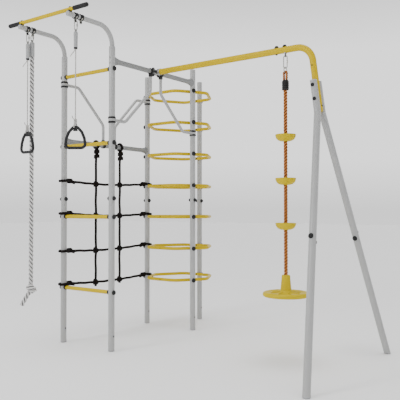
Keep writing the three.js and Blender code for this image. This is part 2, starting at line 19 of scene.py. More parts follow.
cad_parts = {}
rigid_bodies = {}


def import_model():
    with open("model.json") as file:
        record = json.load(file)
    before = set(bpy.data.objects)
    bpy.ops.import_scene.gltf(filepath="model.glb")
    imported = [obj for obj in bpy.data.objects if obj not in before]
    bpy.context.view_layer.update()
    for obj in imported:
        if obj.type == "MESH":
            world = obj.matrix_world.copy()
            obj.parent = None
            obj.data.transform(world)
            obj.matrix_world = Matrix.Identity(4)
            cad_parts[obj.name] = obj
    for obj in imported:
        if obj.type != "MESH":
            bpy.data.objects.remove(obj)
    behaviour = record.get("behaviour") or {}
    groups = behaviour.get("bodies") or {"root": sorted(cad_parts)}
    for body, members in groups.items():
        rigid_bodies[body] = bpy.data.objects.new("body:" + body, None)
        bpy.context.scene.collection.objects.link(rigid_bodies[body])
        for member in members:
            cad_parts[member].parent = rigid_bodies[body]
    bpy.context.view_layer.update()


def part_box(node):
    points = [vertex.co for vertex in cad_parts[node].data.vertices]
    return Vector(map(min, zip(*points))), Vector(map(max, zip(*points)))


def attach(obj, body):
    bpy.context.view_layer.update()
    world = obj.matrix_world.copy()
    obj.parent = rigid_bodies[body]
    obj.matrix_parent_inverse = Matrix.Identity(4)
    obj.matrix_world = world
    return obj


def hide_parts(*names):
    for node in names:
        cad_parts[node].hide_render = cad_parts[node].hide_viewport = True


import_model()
LOG = logging.getLogger("climbing_frame")

Number = float | int

# Half the depth of the bay, its width, and the posts' tube radius.
POST_Y = 0.541
TOWER_X = 0.574
POST_RADIUS = 0.0255

DUST_COLOUR = (0.42, 0.38, 0.32)
DUST_HEIGHT = 0.45
SHARP_EDGE = math.radians(38)
WELD_GAP = 1e-6
BEVEL_SHARE = 0.12


class Body(Enum):
    """CAD bodies that visible pieces ride on."""

    FRAME = "frame"
    GYM_A_HOOK = "gym_a_hook"
    GYM_A_SET = "gym_a_set"
    GYM_B_HOOK = "gym_b_hook"
    GYM_B_SET = "gym_b_set"
    CLIMB_HOOK = "climb_hook"
    CLIMB_SET = "climb_set"
    SWING_HOOK = "swing_hook"
    SWING_SET = "swing_set"


class Lay(Enum):
    """Direction in which the strands of a rope turn."""

    Z = 1.0
    S = -1.0


# ---------------------------------------------------------------- shader maths


@dataclass(frozen=True)
class Wire:
    """One shader value that can be used in ordinary arithmetic."""

    graph: "Graph"
    socket: bpy.types.NodeSocket

    def __add__(self, other: "Value") -> "Wire":
        """Returns the sum."""
        return self.graph.math("ADD", self, other)

    def __radd__(self, other: "Value") -> "Wire":
        """Returns the reflected sum."""
        return self.graph.math("ADD", other, self)

    def __sub__(self, other: "Value") -> "Wire":
        """Returns the difference."""
        return self.graph.math("SUBTRACT", self, other)

    def __rsub__(self, other: "Value") -> "Wire":
        """Returns the reflected difference."""
        return self.graph.math("SUBTRACT", other, self)

    def __mul__(self, other: "Value") -> "Wire":
        """Returns the product."""
        return self.graph.math("MULTIPLY", self, other)

    def __rmul__(self, other: "Value") -> "Wire":
        """Returns the reflected product."""
        return self.graph.math("MULTIPLY", other, self)

    def __truediv__(self, other: "Value") -> "Wire":
        """Returns the quotient."""
        return self.graph.math("DIVIDE", self, other)

    def __rtruediv__(self, other: "Value") -> "Wire":
        """Returns the reflected quotient."""
        return self.graph.math("DIVIDE", other, self)

    def power(self, exponent: "Value") -> "Wire":
        """Returns the value raised to an exponent."""
        return self.graph.math("POWER", self, exponent)

    def sine(self) -> "Wire":
        """Returns the sine of the value in radians."""
        return self.graph.math("SINE", self)

    def larger(self, other: "Value") -> "Wire":
        """Returns the larger of two values."""
        return self.graph.math("MAXIMUM", self, other)

    def between(self, low: Number, high: Number) -> "Wire":
        """Returns 0 below low and 1 above high, with a smooth step between."""
        settings = {"interpolation_type": "SMOOTHSTEP"}
        inputs = {"Value": self, "From Min": low, "From Max": high}
        return self.graph.node("ShaderNodeMapRange", settings, inputs, "Result")


Value = Wire | float | int
Colour = tuple[float, float, float]


class Graph:
    """Builds the node tree of one material."""

    def __init__(self, name: str) -> None:
        """Makes an empty material.

        Args:
            name: The material's name.
        """
        self.material = bpy.data.materials.new(name)
        self.material.use_nodes = True
        self.tree = self.material.node_tree
        self.tree.nodes.clear()

    def node(self, kind: str, settings: dict, inputs: dict, output: str | int) -> Wire:
        """Adds one node.

        Args:
            kind: Node type.
            settings: Node properties, set first.
            inputs: Socket values or links by socket name or index.
            output: Which output to return.

        Returns:
            The chosen output.
        """
        made = self.tree.nodes.new(kind)
        for key, value in settings.items():
            setattr(made, key, value)
        for key, value in inputs.items():
            if isinstance(value, Wire):
                self.tree.links.new(value.socket, made.inputs[key])
            else:
                made.inputs[key].default_value = value
        return Wire(self, made.outputs[output])

    def math(self, operation: str, first: Value, second: Value = 0.0) -> Wire:
        """Returns one maths operation on two values."""
        return self.node("ShaderNodeMath", {"operation": operation}, {0: first, 1: second}, 0)

    def mix(self, factor: Value, first: "Wire | Colour", second: "Wire | Colour") -> Wire:
        """Returns a blend of two colours."""
        pads = [c if isinstance(c, Wire) else (*c, 1.0) for c in (first, second)]
        settings = {"data_type": "RGBA", "clamp_factor": True}
        return self.node("ShaderNodeMix", settings, {0: factor, 6: pads[0], 7: pads[1]}, 2)

    def place(self, output: str = "Object") -> Wire:
        """Returns texture coordinates: Object or UV."""
        return self.node("ShaderNodeTexCoord", {}, {}, output)

    def split(self, vector: Wire, axis: str) -> Wire:
        """Returns one part of a vector."""
        return self.node("ShaderNodeSeparateXYZ", {}, {"Vector": vector}, axis)

    def stretch(self, vector: Wire, scale: Sequence[float]) -> Wire:
        """Returns coordinates multiplied part by part."""
        settings = {"operation": "MULTIPLY"}
        return self.node("ShaderNodeVectorMath", settings, {0: vector, 1: tuple(scale)}, 0)

    def noise(self, vector: Wire, scale: Number, detail: Number = 3.0) -> Wire:
        """Returns fractal noise from 0 to 1."""
        inputs = {"Vector": vector, "Scale": scale, "Detail": detail, "Roughness": 0.55}
        return self.node("ShaderNodeTexNoise", {}, inputs, 0)

    def cells(self, vector: Wire, scale: Number) -> Wire:
        """Returns distance to the nearest of scattered points."""
        return self.node("ShaderNodeTexVoronoi", {}, {"Vector": vector, "Scale": scale}, 0)

    def bump(self, height: Wire, strength: Number, distance: Number) -> Wire:
        """Returns a normal tilted by a height pattern."""
        inputs = {"Height": height, "Strength": strength, "Distance": distance}
        return self.node("ShaderNodeBump", {}, inputs, 0)

    def surface(self, inputs: dict) -> bpy.types.Material:
        """Finishes the material with a principled surface."""
        shader = self.node("ShaderNodeBsdfPrincipled", {}, inputs, 0)
        out = self.tree.nodes.new("ShaderNodeOutputMaterial")
        self.tree.links.new(shader.socket, out.inputs["Surface"])
        return self.material


# ---------------------------------------------------------------- finishes


@dataclass(frozen=True)
class Finish:
    """A surface finish. Subclasses describe one real material each."""

    name: str
    slot: str
    colour: Colour

    def shade(self, graph: Graph) -> dict:
        """Returns the principled inputs of this finish."""
        raise NotImplementedError

    def material(self) -> bpy.types.Material:
        """Returns the material, made once."""
        known = bpy.data.materials.get(self.name)
        if known:
            return known
        graph = Graph(self.name)
        return graph.surface(self.shade(graph))


def tint(colour: Colour, gain: float) -> Colour:
    """Returns a colour made lighter or darker."""
    return tuple(min(1.0, max(0.0, part * gain)) for part in colour)


@dataclass(frozen=True)
class PowderCoat(Finish):
    """Baked powder paint with orange peel, faint mottling, rub marks and ground dust."""

    rough: float = 0.34
    gloss: float = 0.4

    def shade(self, graph: Graph) -> dict:
        """Returns orange-peel paint inputs."""
        at = graph.place()
        mottle = graph.noise(at, 7.0, 4.0)
        rub = graph.noise(graph.stretch(at, (60, 60, 9)), 1.0, 5.0).between(0.62, 0.74)
        height = graph.split(at, "Z")
        dust = (1.0 - height.between(0.0, DUST_HEIGHT)) * graph.noise(at, 24.0, 5.0).between(0.4, 0.75)
        base = graph.mix(mottle, tint(self.colour, 0.97), tint(self.colour, 1.03))
        worn = graph.mix(rub * 0.12, base, tint(self.colour, 0.72))
        dusty = graph.mix(dust * 0.14, worn, DUST_COLOUR)
        peel = graph.noise(at, 420.0, 2.0) + graph.noise(at, 1300.0, 1.0) * 0.35
        return {
            "Base Color": dusty,
            "Roughness": mottle * 0.12 + rub * 0.18 + dust * 0.2 + (self.rough - 0.06),
            "Metallic": 0.0,
            "Specular IOR Level": self.gloss,
            "Coat Weight": (0.12 - rub * 0.1) * self.gloss,
            "Coat Roughness": 0.18,
            "Normal": graph.bump(peel, 0.012, 0.0002),
        }


@dataclass(frozen=True)
class Plastic(Finish):
    """Moulded plastic or rubber with fine texture and light scuffs."""

    rough: float = 0.42
    grain: float = 700.0
    depth: float = 0.0004
    gloss: float = 0.22

    def shade(self, graph: Graph) -> dict:
        """Returns moulded plastic inputs."""
        at = graph.place()
        cloud = graph.noise(at, 18.0, 4.0)
        scuff = graph.noise(graph.stretch(at, (90, 40, 140)), 1.0, 6.0).between(0.6, 0.72)
        base = graph.mix(cloud, tint(self.colour, 0.9), tint(self.colour, 1.08))
        light = tuple(min(1.0, part * 1.15 + 0.02) for part in self.colour)
        grain = graph.cells(at, self.grain) + graph.noise(at, self.grain * 0.5, 2.0)
        return {
            "Base Color": graph.mix(scuff * 0.35, base, light),
            "Roughness": cloud * 0.1 + scuff * 0.15 + (self.rough - 0.05),
            "Specular IOR Level": self.gloss,
            "Normal": graph.bump(grain, 0.22, self.depth),
        }


@dataclass(frozen=True)
class Zinc(Finish):
    """Zinc plated steel with soft spangle, drawing marks and dulled patches."""

    def shade(self, graph: Graph) -> dict:
        """Returns plated steel inputs."""
        at = graph.place()
        spangle = graph.cells(at, 130.0)
        patch = graph.noise(at, 38.0, 5.0)
        draw = graph.noise(graph.stretch(at, (900, 900, 60)), 1.0, 2.0)
        dull = graph.mix(patch.between(0.35, 0.7), tint(self.colour, 0.7), self.colour)
        return {
            "Base Color": graph.mix(spangle * 0.4, dull, tint(self.colour, 1.15)),
            "Metallic": 0.85,
            "Roughness": patch * 0.25 + draw * 0.1 + 0.18,
            "Normal": graph.bump(draw + spangle, 0.15, 0.0003),
        }


@dataclass(frozen=True)
class LaidRope(Finish):
    """Twisted rope. The mesh gives strand number plus place across it as U, and length as V."""

    # Colour painted into the grooves between strands as painted shade.
    painted_groove_shade: Colour = (0.1, 0.1, 0.1)
    yarn: float = 9.0
    # Width of the painted highlight along each strand's crown.
    crown_highlight_width: float = 0.3

    def shade(self, graph: Graph) -> dict:
        """Returns twisted fibre inputs, with painted shade in the grooves and a painted highlight along each
        strand's crown.
        """
        uv = graph.place("UV")
        across = graph.split(uv, "X")
        along = graph.split(uv, "Y")
        inside = graph.math("FRACT", across)
        crown = graph.math("ABSOLUTE", inside - 0.5) * 2.0
        # Mask of the grooves between strands: it paints shade there and also drives the bump.
        groove = crown.between(0.42, 0.86)
        yarns = (inside * (self.yarn * math.tau) + along * 900.0).sine()
        at = graph.place()
        fuzz = graph.noise(graph.stretch(at, (1.0, 1.0, 0.6)), 1500.0, 3.0)
        soil = graph.noise(at, 14.0, 5.0)
        # band is a painted highlight along the middle of each strand's crown.
        band = (1.0 - crown).between(1.0 - self.crown_highlight_width, 1.0)
        base = graph.mix(soil, tint(self.colour, 0.86), tint(self.colour, 1.08))
        lines = graph.mix((yarns * 0.5 + 0.5) * 0.28 + fuzz * 0.16, base, tint(self.colour, 0.55))
        # Darkens the grooves between strands as painted shade.
        shade = graph.mix(groove, lines, self.painted_groove_shade)
        height = yarns * 0.35 + fuzz * 0.5 - groove * 0.8
        return {
            # Lightens the strand crowns as a painted highlight.
            "Base Color": graph.mix(band * 0.18, shade, tint(self.colour, 1.25)),
            "Roughness": fuzz * 0.15 + 0.78,
            "Specular IOR Level": 0.15,
            "Normal": graph.bump(height, 0.55, 0.0012),
        }


@dataclass(frozen=True)
class Braid(Finish):
    """Braided cord. The mesh gives turns round the cord as U and length in metres as V."""

    pitch: float = 0.011

    def shade(self, graph: Graph) -> dict:
        """Returns braided fibre inputs, with painted shade in the gaps between plaits."""
        uv = graph.place("UV")
        turn = graph.split(uv, "X") * (math.tau * 4)
        climb = graph.split(uv, "Y") * (math.tau / self.pitch)
        plait = (turn + climb).sine().larger((turn - climb).sine())
        at = graph.place()
        fuzz = graph.noise(at, 1700.0, 3.0)
        soil = graph.noise(at, 20.0, 4.0)
        base = graph.mix(soil, tint(self.colour, 0.75), tint(self.colour, 1.3))
        return {
            # Darkens the gaps between plaits as painted shade.
            "Base Color": graph.mix(plait.between(-0.2, 0.9), tint(self.colour, 0.35), base),
            "Roughness": fuzz * 0.15 + 0.75,
            "Specular IOR Level": 0.1,
            "Normal": graph.bump(plait + fuzz * 0.4, 0.6, 0.0010),
        }


@dataclass(frozen=True)
class Ground(Finish):
    """Plain pale studio floor."""

    def shade(self, graph: Graph) -> dict:
        """Returns pale floor inputs."""
        at = graph.place()
        return {
            "Base Color": graph.mix(graph.noise(at, 1.2), tint(self.colour, 0.995), self.colour),
            "Roughness": 0.9,
        }


SILVER = PowderCoat("silver_powder_coat", "steel_paint", (0.37, 0.372, 0.37))
# The crossbars' paint is a shaded copy of the post silver: painted shade.
SHADED_SILVER = PowderCoat("silver_powder_coat_painted_shade", "steel_paint", (0.22, 0.225, 0.226))
YELLOW = PowderCoat("yellow_powder_coat", "yellow_paint", (0.55, 0.39, 0.0), 0.36, 0.1)
YELLOW_PLASTIC = Plastic("yellow_moulding", "yellow_plastic", (0.55, 0.41, 0.0), 0.42, 500.0, 0.0004, 0.1)
BLACK = Plastic("black_moulding", "black_plastic", (0.014, 0.014, 0.015), 0.4)
RUBBER = Plastic("ribbed_rubber", "black_rubber", (0.016, 0.016, 0.017), 0.62, 900.0, 0.0010)
SLEEVE = Plastic("grey_sleeve", "grey_plastic", (0.36, 0.365, 0.37), 0.5)
ZINC = Zinc("zinc_plate", "zinc_steel", (0.40, 0.40, 0.38))
# The second colour of each laid rope is the painted shade in its grooves.
WHITE_ROPE = LaidRope("laid_white_rope", "white_rope", (0.74, 0.73, 0.72), (0.085, 0.085, 0.090))
BROWN_ROPE = LaidRope("laid_brown_rope", "brown_rope", (0.56, 0.20, 0.05), (0.060, 0.018, 0.008))
NET_ROPE = Braid("braided_net_rope", "net_rope", (0.012, 0.009, 0.008))
WHITE_CORD = Braid("white_cord", "white_rope", (0.62, 0.61, 0.59), 0.009)
FLOOR = Ground("floor", "", (0.95, 0.95, 0.95))


# ---------------------------------------------------------------- geometry


@dataclass(frozen=True)
class Datum:
    """Turns working coordinates, measured from under the upper crossbar, into the row frame."""

    shift: Vector

    @classmethod
    def from_cad(cls) -> "Datum":
        """Returns the datum read from where the CAD stands its second post."""
        low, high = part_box("post_lower_b")
        middle = (low + high) / 2
        return cls(Vector((middle.x, middle.y + POST_Y, 0.0)))

    def at(self, x: Number, y: Number, z: Number) -> Vector:
        """Returns a working point in the row frame."""
        return Vector((x, y, z)) + self.shift


DATUM = Datum.from_cad()


def aim(origin: Vector, direction: Sequence[float], roll: float = 0.0) -> Matrix:
    """Returns the placement whose local Z points along a direction.

    Args:
        origin: Where the local origin goes.
        direction: Local Z in the row frame.
        roll: Turn about local Z in radians.

    Returns:
        The placement.
    """
    turn = Vector(direction).to_track_quat("Z", "Y").to_matrix().to_4x4()
    return Matrix.Translation(origin) @ turn @ Matrix.Rotation(roll, 4, "Z")


class Shell:
    """Collects the faces and texture coordinates of one visible piece."""

    def __init__(self) -> None:
        """Starts an empty shell."""
        self.points: list[tuple[float, float, float]] = []
        self.faces: list[tuple[int, ...]] = []
        self.uvs: list[tuple[float, float]] = []

    def rings(self, rings: np.ndarray, closed: bool, lengths: Sequence[float], caps: bool = True,
              across: Sequence[float] | None = None) -> "Shell":
        """Adds a skin through rings of points.

        Args:
            rings: Array of ring by point by coordinate.
            closed: True when the last ring joins the first.
            lengths: V coordinate of each ring.
            caps: True to close open ends with flat faces.
            across: U coordinate at each side's start, with one more for the end.

        Returns:
            This shell.
        """
        count, sides, _ = rings.shape
        start = len(self.points)
        self.points.extend(map(tuple, rings.reshape(-1, 3)))
        turns = across if across is not None else [j / sides for j in range(sides + 1)]
        spans = count if closed else count - 1
        for i in range(spans):
            low, high = lengths[i], lengths[i + 1]
            a, b = start + i * sides, start + ((i + 1) % count) * sides
            for j in range(sides):
                k = (j + 1) % sides
                self.faces.append((a + j, a + k, b + k, b + j))
                left, right = turns[j], turns[j + 1]
                self.uvs.extend(((left, low), (right, low), (right, high), (left, high)))
        if caps and not closed:
            last = start + (count - 1) * sides
            self.faces.append(tuple(start + j for j in reversed(range(sides))))
            self.faces.append(tuple(last + j for j in range(sides)))
            self.uvs.extend([(0.5, lengths[0])] * sides + [(0.5, lengths[-1])] * sides)
        return self

    def tube(self, path: Sequence[Vector], radius: float | Sequence[float], sides: int = 24,
             closed: bool = False, mould: Callable[[Vector], Vector] | None = None) -> "Shell":
        """Adds a round bar along a path.

        Args:
            path: Centre line.
            radius: One radius, or one per path point.
            sides: Faces round the bar.
            closed: True for an endless loop.
            mould: Optional change made to every surface point.

        Returns:
            This shell.
        """
        line = Line(path, closed)
        radii = [radius] * len(path) if isinstance(radius, (float, int)) else list(radius)
        rings = np.zeros((len(path), sides, 3))
        for i, (point, side, up) in enumerate(line.frames()):
            for j in range(sides):
                angle = math.tau * j / sides
                spot = point + radii[i] * (math.cos(angle) * side + math.sin(angle) * up)
                rings[i, j] = mould(spot) if mould else spot
        return self.rings(rings, closed, line.lengths())

    def turned(self, profile: Sequence[tuple[float, float]], placement: Matrix, sides: int = 32) -> "Shell":
        """Adds a solid of revolution about the placement's local Z.

        Args:
            profile: Radius and height pairs, listed so that the outside is walked upwards.
            placement: Where it goes.
            sides: Faces round it.

        Returns:
            This shell.
        """
        rings = np.zeros((len(profile), sides, 3))
        for i, (radius, height) in enumerate(profile):
            for j in range(sides):
                angle = math.tau * j / sides
                spot = Vector((radius * math.cos(angle), radius * math.sin(angle), height))
                rings[i, j] = placement @ spot
        steps = [0.0]
        for (r0, h0), (r1, h1) in zip(profile, profile[1:]):
            steps.append(steps[-1] + math.hypot(r1 - r0, h1 - h0))
        return self.rings(rings, False, steps, caps=False)

    def rope(self, path: Sequence[Vector], radius: float, lay: float, turn: Lay,
             strands: int = 3, sides: int = 36) -> "Shell":
        """Adds a rope of twisted strands along a path.

        Args:
            path: Centre line, in steps much shorter than the lay.
            radius: Outer radius.
            lay: Length of one full turn.
            turn: Direction of the strands.
            strands: Number of strands.
            sides: Faces round the rope.

        Returns:
            This shell.
        """
        line = Line(path, False)
        lengths = line.lengths()
        strand = radius * math.sin(math.pi / strands) / (1 + math.sin(math.pi / strands))
        centre = radius - strand
        rings = np.zeros((len(path), sides, 3))
        for i, (point, side, up) in enumerate(line.frames()):
            twist = turn.value * math.tau * lengths[i] / lay
            for j in range(sides):
                around = math.tau * j / sides
                off = (around + math.pi / strands) % (math.tau / strands) - math.pi / strands
                reach = centre * math.cos(off)
                reach += math.sqrt(max(strand * strand - (centre * math.sin(off)) ** 2, 0.0))
                angle = around + twist
                rings[i, j] = point + reach * (math.cos(angle) * side + math.sin(angle) * up)
        across = [j / sides * strands + 0.5 for j in range(sides + 1)]
        return self.rings(rings, False, lengths, True, across)

    def box(self, low: Vector, high: Vector) -> "Shell":
        """Adds a block with small bevels between two corners."""
        edge = min(high - low) * BEVEL_SHARE
        inner = [(low[k] + edge, high[k] - edge) for k in range(3)]
        levels = [(low.z, edge), (low.z + edge, 0.0), (high.z - edge, 0.0), (high.z, edge)]
        rings = np.zeros((4, 8, 3))
        for i, (z, inset) in enumerate(levels):
            (xa, xb), (ya, yb) = inner[0], inner[1]
            reach = edge - inset
            loop = [(xa, ya - reach), (xb, ya - reach), (xb + reach, ya), (xb + reach, yb),
                    (xb, yb + reach), (xa, yb + reach), (xa - reach, yb), (xa - reach, ya)]
            rings[i] = [(x, y, z) for x, y in loop]
        return self.rings(rings, False, [0.0, edge, 0.1, 0.1 + edge])

    def place(self, name: str, finish: Finish, body: Body, *nodes: str) -> bpy.types.Object:
        """Makes the piece.

        Args:
            name: Object name.
            finish: Surface finish.
            body: CAD body it rides.
            nodes: CAD nodes it stands for.

        Returns:
            The new object.
        """
        mesh = bpy.data.meshes.new(name)
        mesh.from_pydata(self.points, [], self.faces)
        layer = mesh.uv_layers.new(name="UVMap")
        layer.data.foreach_set("uv", np.array(self.uvs, np.float32).ravel())
        mesh.materials.append(finish.material())
        merge_poles(mesh)
        mesh.polygons.foreach_set("use_smooth", [True] * len(mesh.polygons))
        mesh.set_sharp_from_angle(angle=SHARP_EDGE)
        piece = bpy.data.objects.new(name, mesh)
        bpy.context.scene.collection.objects.link(piece)
        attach(piece, body.value)
        if nodes:
            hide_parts(*nodes)
        return piece


def merge_poles(mesh: bpy.types.Mesh) -> None:
    """Welds coincident points, such as the pole of a turned profile, and points faces outwards."""
    work = bmesh.new()
    work.from_mesh(mesh)
    bmesh.ops.remove_doubles(work, verts=work.verts, dist=WELD_GAP)
    bmesh.ops.recalc_face_normals(work, faces=work.faces)
    work.to_mesh(mesh)
    work.free()


class Line:
    """A path in space with untwisted cross directions."""

    def __init__(self, path: Sequence[Vector], closed: bool) -> None:
        """Keeps the path.

        Args:
            path: Points in order.
            closed: True when the end joins the start.
        """
        self.path = [Vector(point) for point in path]
        self.closed = closed

    def lengths(self) -> list[float]:
        """Returns the length travelled at each point, with the closing length last if closed."""
        points = self.path + ([self.path[0]] if self.closed else [])
        steps = [0.0]
        for low, high in zip(points, points[1:]):
            steps.append(steps[-1] + (high - low).length)
        return steps

    def tangents(self) -> list[Vector]:
        """Returns the direction of travel at each point."""
        count = len(self.path)
        found = []
        for i in range(count):
            low = self.path[i - 1] if (i > 0 or self.closed) else self.path[i]
            high = self.path[(i + 1) % count] if (i < count - 1 or self.closed) else self.path[i]
            found.append((high - low).normalized())
        return found

    def frames(self) -> list[tuple[Vector, Vector, Vector]]:
        """Returns the point and two cross directions at each station."""
        tangents = self.tangents()
        first = tangents[0]
        hint = Vector((0, 0, 1)) if abs(first.z) < 0.9 else Vector((1, 0, 0))
        side = (hint - first * hint.dot(first)).normalized()
        found = []
        for point, tangent in zip(self.path, tangents):
            side = (side - tangent * side.dot(tangent)).normalized()
            found.append((point, side, tangent.cross(side)))
        return found


def bent(points: Sequence[Vector], radii: Sequence[float], steps: int = 14) -> list[Vector]:
    """Returns a polyline whose inner corners are rounded.

    Args:
        points: Corner points.
        radii: Bend radius at each inner corner.
        steps: Pieces in each bend.

    Returns:
        The rounded path.
    """
    path = [Vector(points[0])]
    for i, radius in enumerate(radii, 1):
        before = (points[i] - points[i - 1]).normalized()
        after = (points[i + 1] - points[i]).normalized()
        turn = before.angle(after)
        start = points[i] - before * radius * math.tan(turn / 2)
        inward = (after - before * math.cos(turn)).normalized()
        for step in range(steps + 1):
            angle = turn * step / steps
            path.append(start + before * radius * math.sin(angle) + inward * radius * (1 - math.cos(angle)))
    path.append(Vector(points[-1]))
    return path


def straight(low: Vector, high: Vector, steps: int) -> list[Vector]:
    """Returns evenly spaced points on a straight line."""
    return [low.lerp(high, i / steps) for i in range(steps + 1)]


def smooth(points: Sequence[Vector], steps: int, closed: bool = False) -> list[Vector]:
    """Returns a Catmull-Rom curve through points."""
    count = len(points)
    found = []
    spans = count if closed else count - 1
    for i in range(spans):
        pick = [points[(i + k) % count] if closed else points[min(max(i + k, 0), count - 1)]
                for k in (-1, 0, 1, 2)]
        for step in range(steps):
            t = step / steps
            found.append(0.5 * ((2 * pick[1]) + (pick[2] - pick[0]) * t
                                + (2 * pick[0] - 5 * pick[1] + 4 * pick[2] - pick[3]) * t * t
                                + (3 * pick[1] - pick[0] - 3 * pick[2] + pick[3]) * t ** 3))
    if not closed:
        found.append(Vector(points[-1]))
    return found


def evened(path: Sequence[Vector], gap: float) -> list[Vector]:
    """Returns a path's points again at equal gaps along it."""
    lengths = Line(path, False).lengths()
    count = max(2, round(lengths[-1] / gap))
    spots, i = [], 0
    for k in range(count + 1):
        goal = lengths[-1] * k / count
        while i < len(path) - 2 and lengths[i + 1] < goal:
            i += 1
        span = max(lengths[i + 1] - lengths[i], 1e-9)
        spots.append(path[i].lerp(path[i + 1], (goal - lengths[i]) / span))
    return spots


def band_loop(circles: Sequence[tuple[float, float, float]], steps: int) -> list[tuple[float, float]]:
    """Returns the outline of a band pulled round circles given as centre and radius."""
    count = len(circles)
    normals = []
    for i, (x, y, radius) in enumerate(circles):
        nx, ny, other = circles[(i + 1) % count]
        reach = math.hypot(nx - x, ny - y)
        normals.append(math.atan2(ny - y, nx - x) - math.acos((radius - other) / reach))
    outline = []
    for i, (x, y, radius) in enumerate(circles):
        start = normals[i - 1]
        turn = (normals[i] - start) % math.tau
        for step in range(steps + 1):
            angle = start + turn * step / steps
            outline.append((x + radius * math.cos(angle), y + radius * math.sin(angle)))
    return outline


def coil(centre: Vector, axis: Sequence[float], radius: float, turns: float, pitch: float) -> list[Vector]:
    """Returns a helix round an axis, centred on a point."""
    placement = aim(centre, axis)
    count = max(8, int(turns * 16))
    return [placement @ Vector((radius * math.cos(math.tau * turns * i / count),
                                radius * math.sin(math.tau * turns * i / count),
                                pitch * turns * (i / count - 0.5))) for i in range(count + 1)]


# ---------------------------------------------------------------- small hardware


@dataclass(frozen=True)
class DomeNut:
    """Black plastic cap over a bolt end: a washer rim, a domed body and a small centre button."""

    radius: float = 0.017
    height: float = 0.012

    def add(self, shell: Shell, origin: Vector, direction: Sequence[float]) -> None:
        """Adds one cap standing on a surface."""
        r, h = self.radius, self.height
        profile = [(0.0, -0.0015), (r * 0.96, -0.0015), (r, 0.0006), (r, h * 0.24), (r * 0.9, h * 0.34),
                   (r * 0.78, h * 0.40), (r * 0.72, h * 0.72), (r * 0.56, h * 0.9), (r * 0.34, h * 0.96),
                   (r * 0.30, h * 0.90), (r * 0.2, h), (0.0, h * 1.02)]
        shell.turned(profile, aim(origin, direction), 28)


@dataclass(frozen=True)
class HexBolt:
    """Hexagon bolt head on a washer."""

    across: float = 0.013
    height: float = 0.006

    def add(self, shell: Shell, origin: Vector, direction: Sequence[float]) -> None:
        """Adds one bolt head."""
        r, h = self.across / 2, self.height
        washer = [(0.0, -0.001), (r * 1.45, -0.001), (r * 1.5, 0.0004), (r * 1.5, h * 0.2), (0.0, h * 0.22)]
        head = [(0.0, h * 0.2), (r * 1.1, h * 0.2), (r * 1.1, h * 0.86), (r * 0.9, h), (0.0, h)]
        shell.turned(washer, aim(origin, direction), 24)
        shell.turned(head, aim(origin, direction), 6)


@dataclass(frozen=True)
class OvalLink:
    """Closed oval steel link in the XZ plane, with a screw collar on one side."""

    wire: float
    bend: float

    def build(self, name: str, x: float, y: float, top: float, low: float, body: Body,
              *nodes: str) -> bpy.types.Object:
        """Makes the link between two hook points."""
        circles = [(0.0, low + self.bend, self.bend), (0.0, top - self.bend, self.bend)]
        path = [DATUM.at(x + u, y, v) for u, v in band_loop(circles, 16)]
        shell = Shell().tube(path, self.wire, 14, closed=True)
        middle = (top + low) / 2
        collar = [(0.0, -0.010), (self.wire + 0.0008, -0.010), (self.wire + 0.0026, -0.0085),
                  (self.wire + 0.0026, 0.0085), (self.wire + 0.0008, 0.010), (0.0, 0.010)]
        shell.turned(collar, aim(DATUM.at(x + self.bend, y, middle), (0, 0, 1)), 6)
        return shell.place(name, ZINC, body, *nodes)


# ---------------------------------------------------------------- structure


